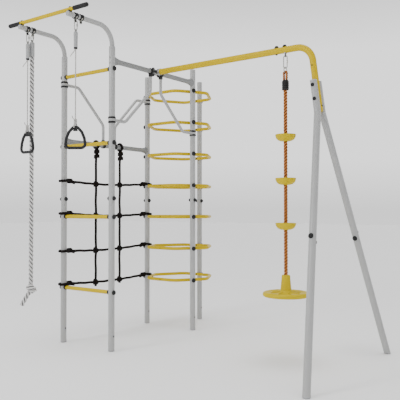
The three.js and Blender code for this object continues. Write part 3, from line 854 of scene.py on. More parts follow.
@dataclass(frozen=True)
class Posts:
    """Five upright two-piece posts with seams, crossing bolts, foot plugs and top caps."""

    radius: float = POST_RADIUS
    seam: float = 1.180
    bolt_height: float = 1.228
    plan: tuple[tuple[str, float, float, float], ...] = (
        ("a", -TOWER_X, -POST_Y, 2.460), ("b", 0.0, -POST_Y, 2.460), ("c", -TOWER_X, POST_Y, 2.470),
        ("d", 0.0, POST_Y, 2.470), ("e", -0.287, 1.038, 2.470))

    def build(self) -> None:
        """Makes every post."""
        for label, x, y, top in self.plan:
            self.lower(label, x, y)
            self.upper(label, x, y, top)
            self.bolts(label, x, y)

    def lower(self, label: str, x: float, y: float) -> None:
        """Makes the lower tube with a grey foot plug and a swaged top."""
        r, seam = self.radius, self.seam
        profile = [(0.0, 0.006), (r - 0.001, 0.006), (r, 0.007), (r, seam - 0.012), (r, seam - 0.004),
                   (r - 0.0009, seam - 0.0012), (r - 0.0016, seam - 0.0002), (0.0, seam - 0.0002)]
        Shell().turned(profile, aim(DATUM.at(x, y, 0), (0, 0, 1)), 40).place(
            f"post_lower_tube_{label}", SILVER, Body.FRAME, f"post_lower_{label}")
        plug = [(0.0, 0.0), (r - 0.003, 0.0), (r, 0.002), (r + 0.0008, 0.004), (r + 0.0008, 0.0085),
                (r, 0.010), (0.0, 0.010)]
        Shell().turned(plug, aim(DATUM.at(x, y, 0), (0, 0, 1)), 40).place(
            f"post_foot_plug_{label}", SLEEVE, Body.FRAME)

    def upper(self, label: str, x: float, y: float, top: float) -> None:
        """Makes the upper tube, with a cap where no arm enters it."""
        r, seam = self.radius, self.seam
        profile = [(0.0, seam + 0.0002), (r - 0.0014, seam + 0.0002), (r, seam + 0.0016), (r, top - 0.004)]
        if label in "ab":
            profile += [(r - 0.0006, top - 0.001), (r - 0.002, top), (0.0195, top), (0.0, top - 0.001)]
        else:
            profile += [(r, top - 0.003), (0.0, top - 0.003)]
            cap = [(0.0, top - 0.0035), (r + 0.0004, top - 0.0035), (r + 0.0004, top - 0.0015),
                   (r - 0.0018, top), (0.0, top + 0.0006)]
            Shell().turned(cap, aim(DATUM.at(x, y, 0), (0, 0, 1)), 40).place(
                f"post_cap_{label}", SLEEVE, Body.FRAME)
        Shell().turned(profile, aim(DATUM.at(x, y, 0), (0, 0, 1)), 40).place(
            f"post_upper_tube_{label}", SILVER, Body.FRAME, f"post_upper_{label}")

    def bolts(self, label: str, x: float, y: float) -> None:
        """Adds the bolt through the joint of the two tubes, and a small screw near the foot."""
        shell = Shell()
        for side in (-1, 1):
            spot = DATUM.at(x + side * self.radius, y, self.bolt_height)
            DomeNut(0.0185, 0.017).add(shell, spot, (side, 0, 0))
        shell.place(f"post_joint_bolt_{label}", BLACK, Body.FRAME)
        foot = Shell()
        HexBolt(0.009, 0.003).add(foot, DATUM.at(x + self.radius, y, 0.12), (1, 0, 0))
        foot.place(f"post_foot_screw_{label}", BLACK, Body.FRAME)


@dataclass(frozen=True)
class Arms:
    """Two overhead arms bent forward from the tops of the front posts, with end plugs."""

    radius: float = 0.019
    height: float = 2.610
    bend: float = 0.145
    end_y: float = -1.015
    clamp_at: tuple[float, float] = (-0.935, -0.880)

    def build(self) -> None:
        """Makes both arms and their four clamps."""
        for label, x in (("a", -TOWER_X), ("b", 0.0)):
            corner = [DATUM.at(x, -POST_Y, 2.38), DATUM.at(x, -POST_Y, self.height),
                      DATUM.at(x, self.end_y + 0.002, self.height)]
            path = bent(corner, [self.bend], 24)
            Shell().tube(path, self.radius, 32).place(f"arm_tube_{label}", SILVER, Body.FRAME, f"arm_{label}")
            plug = [(0.0, -0.004), (self.radius - 0.002, -0.004), (self.radius, -0.002),
                    (self.radius - 0.001, 0.0015), (0.0, 0.002)]
            end = DATUM.at(x, self.end_y + 0.002, self.height)
            Shell().turned(plug, aim(end, (0, -1, 0))).place(f"arm_plug_{label}", SLEEVE, Body.FRAME)
            for kind, y in zip(("ring", "rope" if label == "a" else "spare"), self.clamp_at):
                self.clamp(f"clamp_{label}_{kind}", x, y)

    def clamp(self, node: str, x: float, y: float) -> None:
        """Makes one clamp: a steel band, black edge rings, a pierced lug and its bolt."""
        r, z = self.radius, self.height
        place = aim(DATUM.at(x, y, z), (0, 1, 0))
        band = [(r + 0.0004, -0.010), (r + 0.004, -0.010), (r + 0.0046, -0.007), (r + 0.0046, 0.007),
                (r + 0.004, 0.010), (r + 0.0004, 0.010), (r + 0.0004, -0.010)]
        steel = Shell().turned(band, place, 40)
        steel.turned([(0.0, -0.0012), (0.0055, -0.0012), (0.006, 0.0), (0.0055, 0.004), (0.0, 0.0045)],
                     aim(DATUM.at(x + 0.0225, y, z + 0.004), (1, 0, 0.1)), 6)
        lug = band_loop([(-0.0095, 0.0, 0.003), (0.0, -0.0155, 0.0125), (0.0095, 0.0, 0.003)], 10)
        self.lug_plate(steel, x, y, z - 0.0225, lug)
        steel.place(f"{node}_steel", ZINC, Body.FRAME, node)
        rubber = Shell()
        for side in (-1, 1):
            edge = [(r + 0.0003, -0.0042), (r + 0.0056, -0.0042), (r + 0.0066, 0.0), (r + 0.0056, 0.0042),
                    (r + 0.0003, 0.0042), (r + 0.0003, -0.0042)]
            rubber.turned(edge, aim(DATUM.at(x, y + side * 0.0108, z), (0, 1, 0)), 40)
            DomeNut(0.012, 0.011).add(rubber, DATUM.at(x + side * (r + 0.004), y, z + 0.004), (side, 0, 0.1))
        rubber.place(f"{node}_edges", BLACK, Body.FRAME)

    def lug_plate(self, shell: Shell, x: float, y: float, top: float, outline: list) -> None:
        """Adds a pierced plate in the YZ plane whose hole is centred below the band."""
        count = len(outline)
        hole = [(0.009 * math.cos(math.tau * i / count - 2.2), 0.009 * math.sin(math.tau * i / count - 2.2)
                 - 0.0155) for i in range(count)]
        rings = []
        for loop, half in ((outline, -0.002), (outline, 0.002), (hole, 0.002), (hole, -0.002)):
            rings.append([DATUM.at(x + half, y + u, top + v) for u, v in loop])
        shell.rings(np.array(rings), True, [0.0, 0.004, 0.010, 0.014, 0.020])


@dataclass(frozen=True)
class PullupBar:
    """Yellow bar across both arms with soft end grips, saddles and bolts."""

    radius: float = 0.01475
    y: float = -0.988
    z: float = 2.647
    ends: tuple[float, float] = (-0.719, 0.173)
    bolts: tuple[float, float] = (-TOWER_X, 0.0)

    def build(self) -> None:
        """Makes the bar, its two grips, saddles and bolts."""
        path = straight(DATUM.at(self.ends[0], self.y, self.z), DATUM.at(self.ends[1], self.y, self.z), 24)
        Shell().tube(path, self.radius, 32).place("pullup_tube", YELLOW, Body.FRAME, "pullup_bar")
        for label, x, way in (("a", self.ends[0], 1), ("b", self.ends[1], -1)):
            self.grip(label, x, way)
        saddles, heads = Shell(), Shell()
        for x in self.bolts:
            low = DATUM.at(x - 0.0115, self.y - 0.014, 2.6262)
            high = DATUM.at(x + 0.0115, self.y + 0.014, 2.640)
            saddles.box(low, high)
            HexBolt(0.014, 0.006).add(heads, DATUM.at(x, self.y, self.z + self.radius), (0, 0, 1))
        saddles.place("pullup_saddles", BLACK, Body.FRAME)
        heads.place("pullup_bolts", BLACK, Body.FRAME)

    def grip(self, label: str, x: float, way: int) -> None:
        """Makes one soft grip with shallow finger grooves and a rounded end."""
        profile = [(0.0, -0.018), (0.009, -0.0178), (0.0145, -0.015), (0.0168, -0.009)]
        for step in range(60):
            along = -0.006 + step * 0.0023
            if along < 0.128:
                profile.append((0.0170 - 0.0006 * (step % 2), along))
        profile += [(0.0168, 0.1295), (0.0158, 0.1312), (0.0149, 0.1312)]
        place = aim(DATUM.at(x, self.y, self.z), (way, 0, 0))
        Shell().turned(profile, place, 36).place(f"grip_foam_{label}", RUBBER, Body.FRAME, f"grip_{label}")


@dataclass(frozen=True)
class Beam:
    """Yellow overhead beam with its tee clamp on the crossbar and the swing hanger."""

    radius: float = 0.025
    z: float = 2.346
    start: float = 0.042
    corner: float = 1.5017
    bend: float = 0.132
    slope: float = math.tan(math.radians(8))
    end_z: float = 1.850
    swing_x: float = 1.290

    def axis(self, z: float) -> Vector:
        """Returns the point of the beam's sloping end at a height."""
        return DATUM.at(self.corner + (self.z - z) * self.slope, 0.0, z)

    def build(self) -> None:
        """Makes the beam, clamp, hanger and fasteners."""
        corners = [DATUM.at(self.start, 0, self.z), DATUM.at(self.corner, 0, self.z), self.axis(self.end_z)]
        path = bent(corners, [self.bend], 28)
        path[1:1] = straight(path[0], path[1], 16)[1:-1]
        Shell().tube(path, self.radius, 40).place("beam_tube", YELLOW, Body.FRAME, "top_beam")
        self.tee()
        self.hanger()
        mark = Shell()
        HexBolt(0.008, 0.002).add(mark, DATUM.at(1.522, -0.0253, 2.192), (0, -1, 0))
        mark.place("beam_rivet", BLACK, Body.FRAME)

    def tee(self) -> None:
        """Makes the two clamp plates round the crossbar, the socket and their bolts."""
        steel = Shell()
        for start, stop in ((-62, 62), (118, 242)):
            rings = []
            for y in (-0.040, -0.037, 0.037, 0.040):
                loop = []
                thin = 0.0008 if abs(y) > 0.038 else 0.0
                for radius, angles in ((0.0256 - thin, range(start, stop + 1, 8)),
                                       (0.0214, range(stop, start - 1, -8))):
                    for angle in angles:
                        turn = math.radians(angle)
                        loop.append(DATUM.at(radius * math.cos(turn), y, self.z + radius * math.sin(turn)))
                rings.append(loop)
            steel.rings(np.array(rings), False, [0.0, 0.003, 0.077, 0.080])
        socket = [(0.0253, -0.012), (0.0284, -0.012), (0.0290, -0.010), (0.0290, 0.014), (0.0280, 0.017),
                  (0.0253, 0.017), (0.0253, -0.012)]
        steel.turned(socket, aim(DATUM.at(0.043, 0, self.z), (1, 0, 0)), 40)
        for y in (-0.034, 0.034):
            for z in (-0.0235, 0.0235):
                low = DATUM.at(-0.014, y - 0.006, self.z + z - 0.003)
                high = DATUM.at(0.018, y + 0.006, self.z + z + 0.003)
                steel.box(low, high)
        steel.place("beam_tee_plates", ZINC, Body.FRAME, "beam_tee")
        heads = Shell()
        for y in (-0.034, 0.034):
            DomeNut(0.0140, 0.013).add(heads, DATUM.at(0.002, y, self.z + 0.0262), (0, 0, 1))
            DomeNut(0.0135, 0.012).add(heads, DATUM.at(0.002, y, self.z - 0.0262), (0, 0, -1))
            DomeNut(0.0120, 0.010).add(heads, DATUM.at(0.0255, y, self.z), (1, 0, 0))
        heads.place("beam_tee_bolts", BLACK, Body.FRAME)

    def hanger(self) -> None:
        """Makes the swing hanger: two capped bolts through the beam, and an eye plate below."""
        caps = Shell()
        for x in (1.215, 1.284):
            DomeNut(0.0175, 0.016).add(caps, DATUM.at(x, 0, self.z + self.radius), (0, 0, 1))
        DomeNut(0.009, 0.007).add(caps, DATUM.at(1.215, 0, self.z - self.radius), (0, 0, -1))
        caps.place("hanger_caps", BLACK, Body.FRAME)
        steel = Shell()
        outline = band_loop([(-0.0095, 0.0215, 0.003), (0.0, 0.0, 0.0125), (0.0095, 0.0215, 0.003)], 10)
        shifted = [(u, v - 0.0155) for u, v in outline]
        Arms().lug_plate(steel, self.swing_x, 0.0, 2.3175, shifted)
        collar = [(0.0, -0.003), (0.013, -0.003), (0.0135, 0.0), (0.013, 0.002), (0.0, 0.002)]
        steel.turned(collar, aim(DATUM.at(self.swing_x, 0, self.z - self.radius - 0.0005), (0, 0, 1)), 24)
        steel.place("hanger_eye", ZINC, Body.FRAME)


@dataclass(frozen=True)
class Legs:
    """Two splayed two-piece legs, pressed to nest on both sides of the beam's lower end."""

    beam: Beam
    radius: float = 0.0255
    offset: float = 0.040
    top_z: float = 2.078
    bend_z: float = 1.845
    seam_z: float = 0.905
    foot: tuple[float, float] = (1.810, 0.707)

    def press(self, spot: Vector) -> Vector:
        """Returns a surface point pushed out of the beam, where the leg nests on it."""
        if spot.z < self.bend_z - 0.05:
            return spot
        axis = self.beam.axis(spot.z)
        flat = Vector((spot.x - axis.x, spot.y - axis.y, 0.0))
        reach = self.beam.radius + 0.0006
        if flat.length >= reach or flat.length < 1e-6:
            return spot
        return Vector((axis.x, axis.y, spot.z)) + flat.normalized() * reach

    def build(self) -> None:
        """Makes both legs and their bolts."""
        for label, side in (("near", -1), ("far", 1)):
            shift = Vector((0, side * self.offset, 0))
            top = self.beam.axis(self.top_z) + shift
            knee = self.beam.axis(self.bend_z) + shift
            foot = DATUM.at(self.foot[0], side * self.foot[1], 0)
            seam = knee.lerp(foot, (self.bend_z - self.seam_z) / self.bend_z)
            path = bent([top, knee, seam], [0.090], 10)
            path[1:1] = straight(path[0], path[1], 10)[1:-1]
            Shell().tube(path, self.radius, 56, mould=self.press).place(
                f"leg_upper_tube_{label}", SILVER, Body.FRAME, f"leg_upper_{label}")
            along = (foot - knee).normalized()
            self.lower(label, seam + along * 0.0008, foot, along)
            self.bolts(label, side, knee, foot, along)

    def lower(self, label: str, start: Vector, foot: Vector, along: Vector) -> None:
        """Makes the lower tube, cut level with the ground, and its foot plug."""
        def level(low: float) -> Callable[[Vector], Vector]:
            """Returns a mould that cuts the tube's end level at a height."""
            def cut(spot: Vector) -> Vector:
                """Returns a surface point, slid along the tube to the cut if it is near the foot."""
                if spot.z > 0.10:
                    return spot
                goal = max(low, spot.z)
                if (spot - foot).dot(along) > -0.012:
                    goal = low
                return spot + along * ((goal - spot.z) / along.z)
            return cut

        path = straight(start, foot, 12)
        Shell().tube(path, self.radius, 40, mould=level(0.004)).place(
            f"leg_lower_tube_{label}", SILVER, Body.FRAME, f"leg_lower_{label}")
        rings = []
        side, up = Line([start, foot], False).frames()[0][1:]
        for height, grow in ((0.0, -0.002), (0.002, 0.0008), (0.008, 0.0008), (0.010, 0.0)):
            ring = []
            for j in range(40):
                angle = math.tau * j / 40
                spot = foot + (self.radius + grow) * (math.cos(angle) * side + math.sin(angle) * up)
                ring.append(spot + along * ((height - spot.z) / along.z))
            rings.append(ring)
        Shell().rings(np.array(rings), False, [0.0, 0.002, 0.008, 0.010]).place(
            f"leg_foot_plug_{label}", SLEEVE, Body.FRAME)

    def bolts(self, label: str, side: int, knee: Vector, foot: Vector, along: Vector) -> None:
        """Adds the bolts through leg and beam, and those at the joint of the two tubes."""
        shell = Shell()
        for z in (2.040, 1.938):
            spot = self.beam.axis(z) + Vector((0, side * (self.offset + self.radius), 0))
            DomeNut(0.0140, 0.011).add(shell, spot, (0, side, 0))
        spot = self.beam.axis(1.892) + Vector((0.024, side * 0.004, 0))
        HexBolt(0.009, 0.003).add(shell, spot, (1, side * 0.2, 0))
        out = Vector((0, side, 0))
        out = (out - along * out.dot(along)).normalized()
        for z, way in ((0.956, 1), (0.928, -1)):
            middle = knee.lerp(foot, (self.bend_z - z) / self.bend_z)
            direction = out * way
            DomeNut(0.0190, 0.014).add(shell, middle + direction * self.radius, direction)
        shell.place(f"leg_bolts_{label}", BLACK, Body.FRAME)


@dataclass(frozen=True)
class Crossbar:
    """Crossbar along Y, in a shaded copy of the post silver (painted shade), whose flared saddles hug a post
    at each end.
    """

    name: str
    x: float
    z: float
    tall: float
    radius: float = 0.021
    post_y: float = POST_Y
    post_radius: float = POST_RADIUS

    def build(self) -> None:
        """Makes the bar, both saddles and their bolts."""
        count, sides = 14, 40
        stations = []
        for i in range(count):
            t = i / (count - 1)
            blend = (1 - t) ** 2.2
            stations.append((0.085 * t, blend))
        rings = []
        for way in (-1, 1):
            side_rings = []
            for reach, blend in stations:
                ring = []
                for j in range(sides):
                    angle = math.tau * j / sides
                    wide = self.radius + (0.0235 - self.radius) * blend
                    tall = self.radius + (self.tall - self.radius) * blend
                    u, v = wide * math.cos(angle), tall * math.sin(angle)
                    skin = math.sqrt(max((self.post_radius + 0.0005) ** 2 - u * u, 0.0))
                    ring.append(DATUM.at(self.x + u, way * (self.post_y - skin - reach), self.z + v))
                side_rings.append(ring)
            rings.extend(side_rings if way < 0 else side_rings[::-1])
        array = np.array(rings)
        lengths = [0.0]
        for low, high in zip(array, array[1:]):
            lengths.append(lengths[-1] + float(np.linalg.norm(high[0] - low[0])))
        # The crossbar's deeper silver tone is painted shade.
        Shell().rings(array, False, lengths).place(f"{self.name}_tube", SHADED_SILVER, Body.FRAME, self.name)
        heads = Shell()
        for way in (-1, 1):
            for z in (-0.55, 0.55):
                spot = DATUM.at(self.x, way * (self.post_y + self.post_radius), self.z + z * self.tall)
                HexBolt(0.010, 0.004).add(heads, spot, (0, way, 0))
        heads.place(f"{self.name}_bolts", ZINC, Body.FRAME)


@dataclass(frozen=True)
class KneeBrace:
    """Bent tube from a banded post clamp to the underside or top of a crossbar."""

    post: str
    x: float
    side: int
    clamp_z: float
    stub_y: float
    turn_y: float
    turn_z: float
    bar_z: float
    radius: float = 0.013
    post_radius: float = POST_RADIUS

    def build(self) -> None:
        """Makes the brace tube, its post clamp and its crossbar clamp."""
        y = POST_Y - self.post_radius - 0.002
        way = 1 if self.bar_z > self.turn_z else -1
        end = self.bar_z - way * 0.0205
        corners = [DATUM.at(self.x, self.side * y, self.clamp_z),
                   DATUM.at(self.x, self.side * self.stub_y, self.clamp_z),
                   DATUM.at(self.x, self.side * self.turn_y, self.turn_z),
                   DATUM.at(self.x, self.side * self.turn_y, end)]
        Shell().tube(bent(corners, [0.06, 0.06], 10), self.radius, 28).place(
            f"brace_tube_{self.post}", SILVER, Body.FRAME, f"brace_{self.post}")
        self.post_clamp()
        self.bar_clamp(way)

    def post_clamp(self) -> None:
        """Makes the silver band with black rubber edges, and its teardrop nose."""
        r = self.post_radius
        place = aim(DATUM.at(self.x, self.side * POST_Y, self.clamp_z), (0, 0, 1))
        band = [(r + 0.0004, -0.0125), (r + 0.0032, -0.0125), (r + 0.004, -0.010), (r + 0.004, 0.010),
                (r + 0.0032, 0.0125), (r + 0.0004, 0.0125), (r + 0.0004, -0.0125)]
        steel = Shell().turned(band, place, 44)
        nose = [(0.0, 0.0), (0.018, 0.0), (0.0165, 0.006), (0.0145, 0.013), (0.0135, 0.016), (0.0, 0.016)]
        spot = DATUM.at(self.x, self.side * (POST_Y - r - 0.001), self.clamp_z)
        steel.turned(nose, aim(spot, (0, -self.side, 0)), 28)
        steel.place(f"brace_band_{self.post}", SILVER, Body.FRAME)
        rubber = Shell()
        for step in (-1, 1):
            edge = [(r + 0.0004, -0.0080), (r + 0.0052, -0.0076), (r + 0.0064, -0.005), (r + 0.0064, 0.005),
                    (r + 0.0052, 0.0076), (r + 0.0004, 0.0080), (r + 0.0004, -0.0080)]
            spot = DATUM.at(self.x, self.side * POST_Y, self.clamp_z + step * 0.018)
            rubber.turned(edge, aim(spot, (0, 0, 1)), 44)
        rubber.place(f"brace_rubber_{self.post}", BLACK, Body.FRAME)

    def bar_clamp(self, way: int) -> None:
        """Makes the black clamp that holds the brace's end to the crossbar."""
        shell = Shell()
        y = self.side * self.turn_y
        ring = [(0.0213, -0.014), (0.0260, -0.014), (0.0272, -0.011), (0.0272, 0.011), (0.0260, 0.014),
                (0.0213, 0.014), (0.0213, -0.014)]
        shell.turned(ring, aim(DATUM.at(self.x, y, self.bar_z), (0, 1, 0)), 36)
        neck = [(0.0132, 0.0), (0.0184, 0.0), (0.0190, 0.004), (0.0186, 0.020), (0.0174, 0.026),
                (0.0132, 0.026), (0.0132, 0.0)]
        spot = DATUM.at(self.x, y, self.bar_z - way * 0.022)
        shell.turned(neck, aim(spot, (0, 0, -way)), 28)
        shell.place(f"brace_bar_clamp_{self.post}", BLACK, Body.FRAME)


@dataclass(frozen=True)
class Rungs:
    """Yellow ladder rungs with black saddle collars and capped bolts outside the posts."""

    heights: tuple[float, ...] = (0.470, 1.078, 1.680, 2.280)
    radius: float = 0.016
    y: float = -POST_Y
    span: float = TOWER_X

    def build(self) -> None:
        """Makes every rung, collar and cap."""
        for i, z in enumerate(self.heights, 1):
            low, high = DATUM.at(-self.span + 0.030, self.y, z), DATUM.at(-0.030, self.y, z)
            Shell().tube(straight(low, high, 12), self.radius, 32).place(
                f"rung_tube_{i}", YELLOW, Body.FRAME, f"rung_{i}")
            caps = Shell()
            for x, way in ((-self.span, 1), (0.0, -1)):
                self.collar(caps, x, way, z)
                DomeNut(0.0200, 0.015).add(caps, DATUM.at(x - way * POST_RADIUS, self.y, z), (-way, 0, 0))
            caps.place(f"rung_collars_{i}", BLACK, Body.FRAME)

    def collar(self, shell: Shell, x: float, way: int, z: float) -> None:
        """Adds the collar that hugs the post and carries the rung's end."""
        rings = []
        steps = ((0.0, 0.0195), (0.004, 0.0200), (0.009, 0.0185), (0.013, 0.0172), (0.0145, 0.0162))
        for reach, radius in steps:
            ring = []
            for j in range(36):
                angle = math.tau * j / 36
                u, v = radius * math.cos(angle), radius * math.sin(angle)
                skin = 0.0260 - 0.004 * abs(u) / 0.02
                if reach == 0:
                    skin = math.sqrt(max(0.0260 ** 2 - u * u, 0.0))
                ring.append(DATUM.at(x + way * (skin + reach), self.y + u, z + v))
            rings.append(ring)
        shell.rings(np.array(rings), False, [0.0, 0.004, 0.009, 0.013, 0.015])


@dataclass(frozen=True)
class TowerRings:
    """Yellow hexagon rings inside three posts, each held by capped bolts."""

    centre: tuple[float, float] = (-0.287, 0.707)
    radius: float = 0.015
    inradius: float = 0.290
    corner: float = 0.090
    first: float = 0.468
    step: float = 0.300
    count: int = 7
    post_reach: float = 0.3315

    def build(self) -> None:
        """Makes the rings, bolt caps and inner nuts."""
        reach = (self.inradius - self.corner) / math.cos(math.pi / 6)
        circles = [(reach * math.cos(math.pi / 3 * i), reach * math.sin(math.pi / 3 * i), self.corner)
                   for i in range(6)]
        outline = band_loop(circles, 10)
        cx, cy = self.centre
        for k in range(self.count):
            z = self.first + k * self.step
            path = [DATUM.at(cx + u, cy + v, z) for u, v in outline]
            Shell().tube(path, self.radius, 28, closed=True).place(
                f"ring_tube_{k + 1}", YELLOW, Body.FRAME, f"ring_{k + 1}")
            caps = Shell()
            for degrees in (90, 210, 330):
                dx, dy = math.cos(math.radians(degrees)), math.sin(math.radians(degrees))
                out = self.post_reach + POST_RADIUS
                DomeNut(0.0205, 0.015).add(caps, DATUM.at(cx + dx * out, cy + dy * out, z), (dx, dy, 0))
                inner = self.inradius - self.radius
                HexBolt(0.010, 0.004).add(caps, DATUM.at(cx + dx * inner, cy + dy * inner, z), (-dx, -dy, 0))
            for degrees in (30, 150, 270):
                dx, dy = math.cos(math.radians(degrees)), math.sin(math.radians(degrees))
                out = self.inradius + self.radius
                HexBolt(0.006, 0.0016).add(caps, DATUM.at(cx + dx * out, cy + dy * out, z), (dx, dy, 0))
            caps.place(f"ring_caps_{k + 1}", BLACK, Body.FRAME)


@dataclass(frozen=True)
class Net:
    """Dark braided net: uprights looped on the crossbar, rows looped round both posts, and knots."""

    x: float = -TOWER_X
    radius: float = 0.0112
    uprights: tuple[float, float] = (-0.165, 0.145)
    rows: tuple[tuple[float, float], ...] = ((1.390, 1.396), (1.110, 1.098), (0.785, 0.795), (0.502, 0.495))
    sag: float = 0.024
    low: float = 0.440
    bar_z: float = 1.730
    post_y: float = POST_Y

    def row_z(self, row: tuple[float, float], y: float) -> float:
        """Returns the height of a sagging row rope."""
        t = (y + self.post_y) / (2 * self.post_y)
        return row[0] + (row[1] - row[0]) * t - 4 * self.sag * t * (1 - t)

    def build(self) -> None:
        """Makes the net as ropes and knots that stand for one CAD node."""
        for i, row in enumerate(self.rows):
            shell = Shell()
            self.row(shell, row)
            nodes = ("net",) if i == 0 else ()
            shell.place(f"net_row_{i + 1}", NET_ROPE, Body.FRAME, *nodes)
        for i, y in enumerate(self.uprights):
            shell = Shell()
            self.upright(shell, y)
            shell.place(f"net_upright_{i + 1}", NET_ROPE, Body.FRAME)

    def row(self, shell: Shell, row: tuple[float, float]) -> None:
        """Adds one row rope: straight run, post loops, whippings and crossing knots."""
        loop = POST_RADIUS + 0.0005 + self.radius
        reach = self.post_y - loop
        path = [DATUM.at(self.x, -reach + 2 * reach * i / 60,
                         self.row_z(row, -reach + 2 * reach * i / 60) + 0.0012 * math.sin(i * 0.9))
                for i in range(61)]
        shell.tube(path, self.radius, 14)
        for way in (-1, 1):
            z = self.row_z(row, way * reach)
            ring = []
            for i in range(40):
                angle = math.tau * i / 40
                lift = 0.006 * math.cos(angle) * 0.5
                ring.append(DATUM.at(self.x + loop * math.sin(angle),
                                     way * (self.post_y - loop * math.cos(angle)), z + lift))
            shell.tube(ring, self.radius, 14, closed=True)
            self.whipping(shell, way * (reach - 0.022), z, way)
        for y in self.uprights:
            self.knot(shell, y, self.row_z(row, y))

    def whipping(self, shell: Shell, y: float, z: float, way: int) -> None:
        """Adds the doubled end and the wraps that close a loop round a post."""
        spot = DATUM.at(self.x, y, z)
        shell.tube(coil(spot, (0, 1, 0), self.radius + 0.0050, 3.6, 0.0112), 0.0064, 12)
        tail = [spot + Vector((0.005, -way * t, -0.011 - 0.004 * k))
                for k, t in enumerate((0.018, 0.036, 0.054))]
        shell.tube(smooth(tail, 5), self.radius * 0.86, 12)

    def knot(self, shell: Shell, y: float, z: float) -> None:
        """Adds a clove-style knot where an upright crosses a row."""
        spot = DATUM.at(self.x, y, z)
        r = self.radius + 0.0044
        for way in (-1, 1):
            shell.tube(coil(spot + Vector((0, 0, way * 0.013)), (way * 0.1, 0.18, 1), r, 1.15, 0.008),
                       0.0086, 12)
        shell.tube(coil(spot, (0.2, 1, 0.1), r + 0.001, 1.6, 0.016), 0.0088, 12)

    def upright(self, shell: Shell, y: float) -> None:
        """Adds one upright rope with its crossbar loop, doubled end and whippings."""
        loop = 0.021 + 0.0005 + self.radius
        top = self.bar_z - loop
        path = [DATUM.at(self.x + 0.0012 * math.sin(i * 0.7), y + 0.0016 * math.sin(i * 0.45),
                         top + (self.low - top) * i / 64) for i in range(65)]
        shell.tube(path, self.radius, 14)
        ring = [DATUM.at(self.x + loop * math.sin(math.tau * i / 40),
                         y + 0.004 * math.cos(math.tau * i / 40),
                         self.bar_z - loop * math.cos(math.tau * i / 40)) for i in range(40)]
        shell.tube(ring, self.radius, 14, closed=True)
        double = [DATUM.at(self.x + 0.004, y + 0.015, top + 0.004 - 0.020 * k) for k in range(5)]
        shell.tube(smooth(double, 4), self.radius * 0.9, 12)
        for drop in (0.030, 0.074):
            spot = DATUM.at(self.x + 0.002, y + 0.007, top - drop)
            shell.tube(coil(spot, (0, 0, 1), self.radius + 0.0100, 2.6, 0.0105), 0.0064, 12)


# ---------------------------------------------------------------- hanging pieces


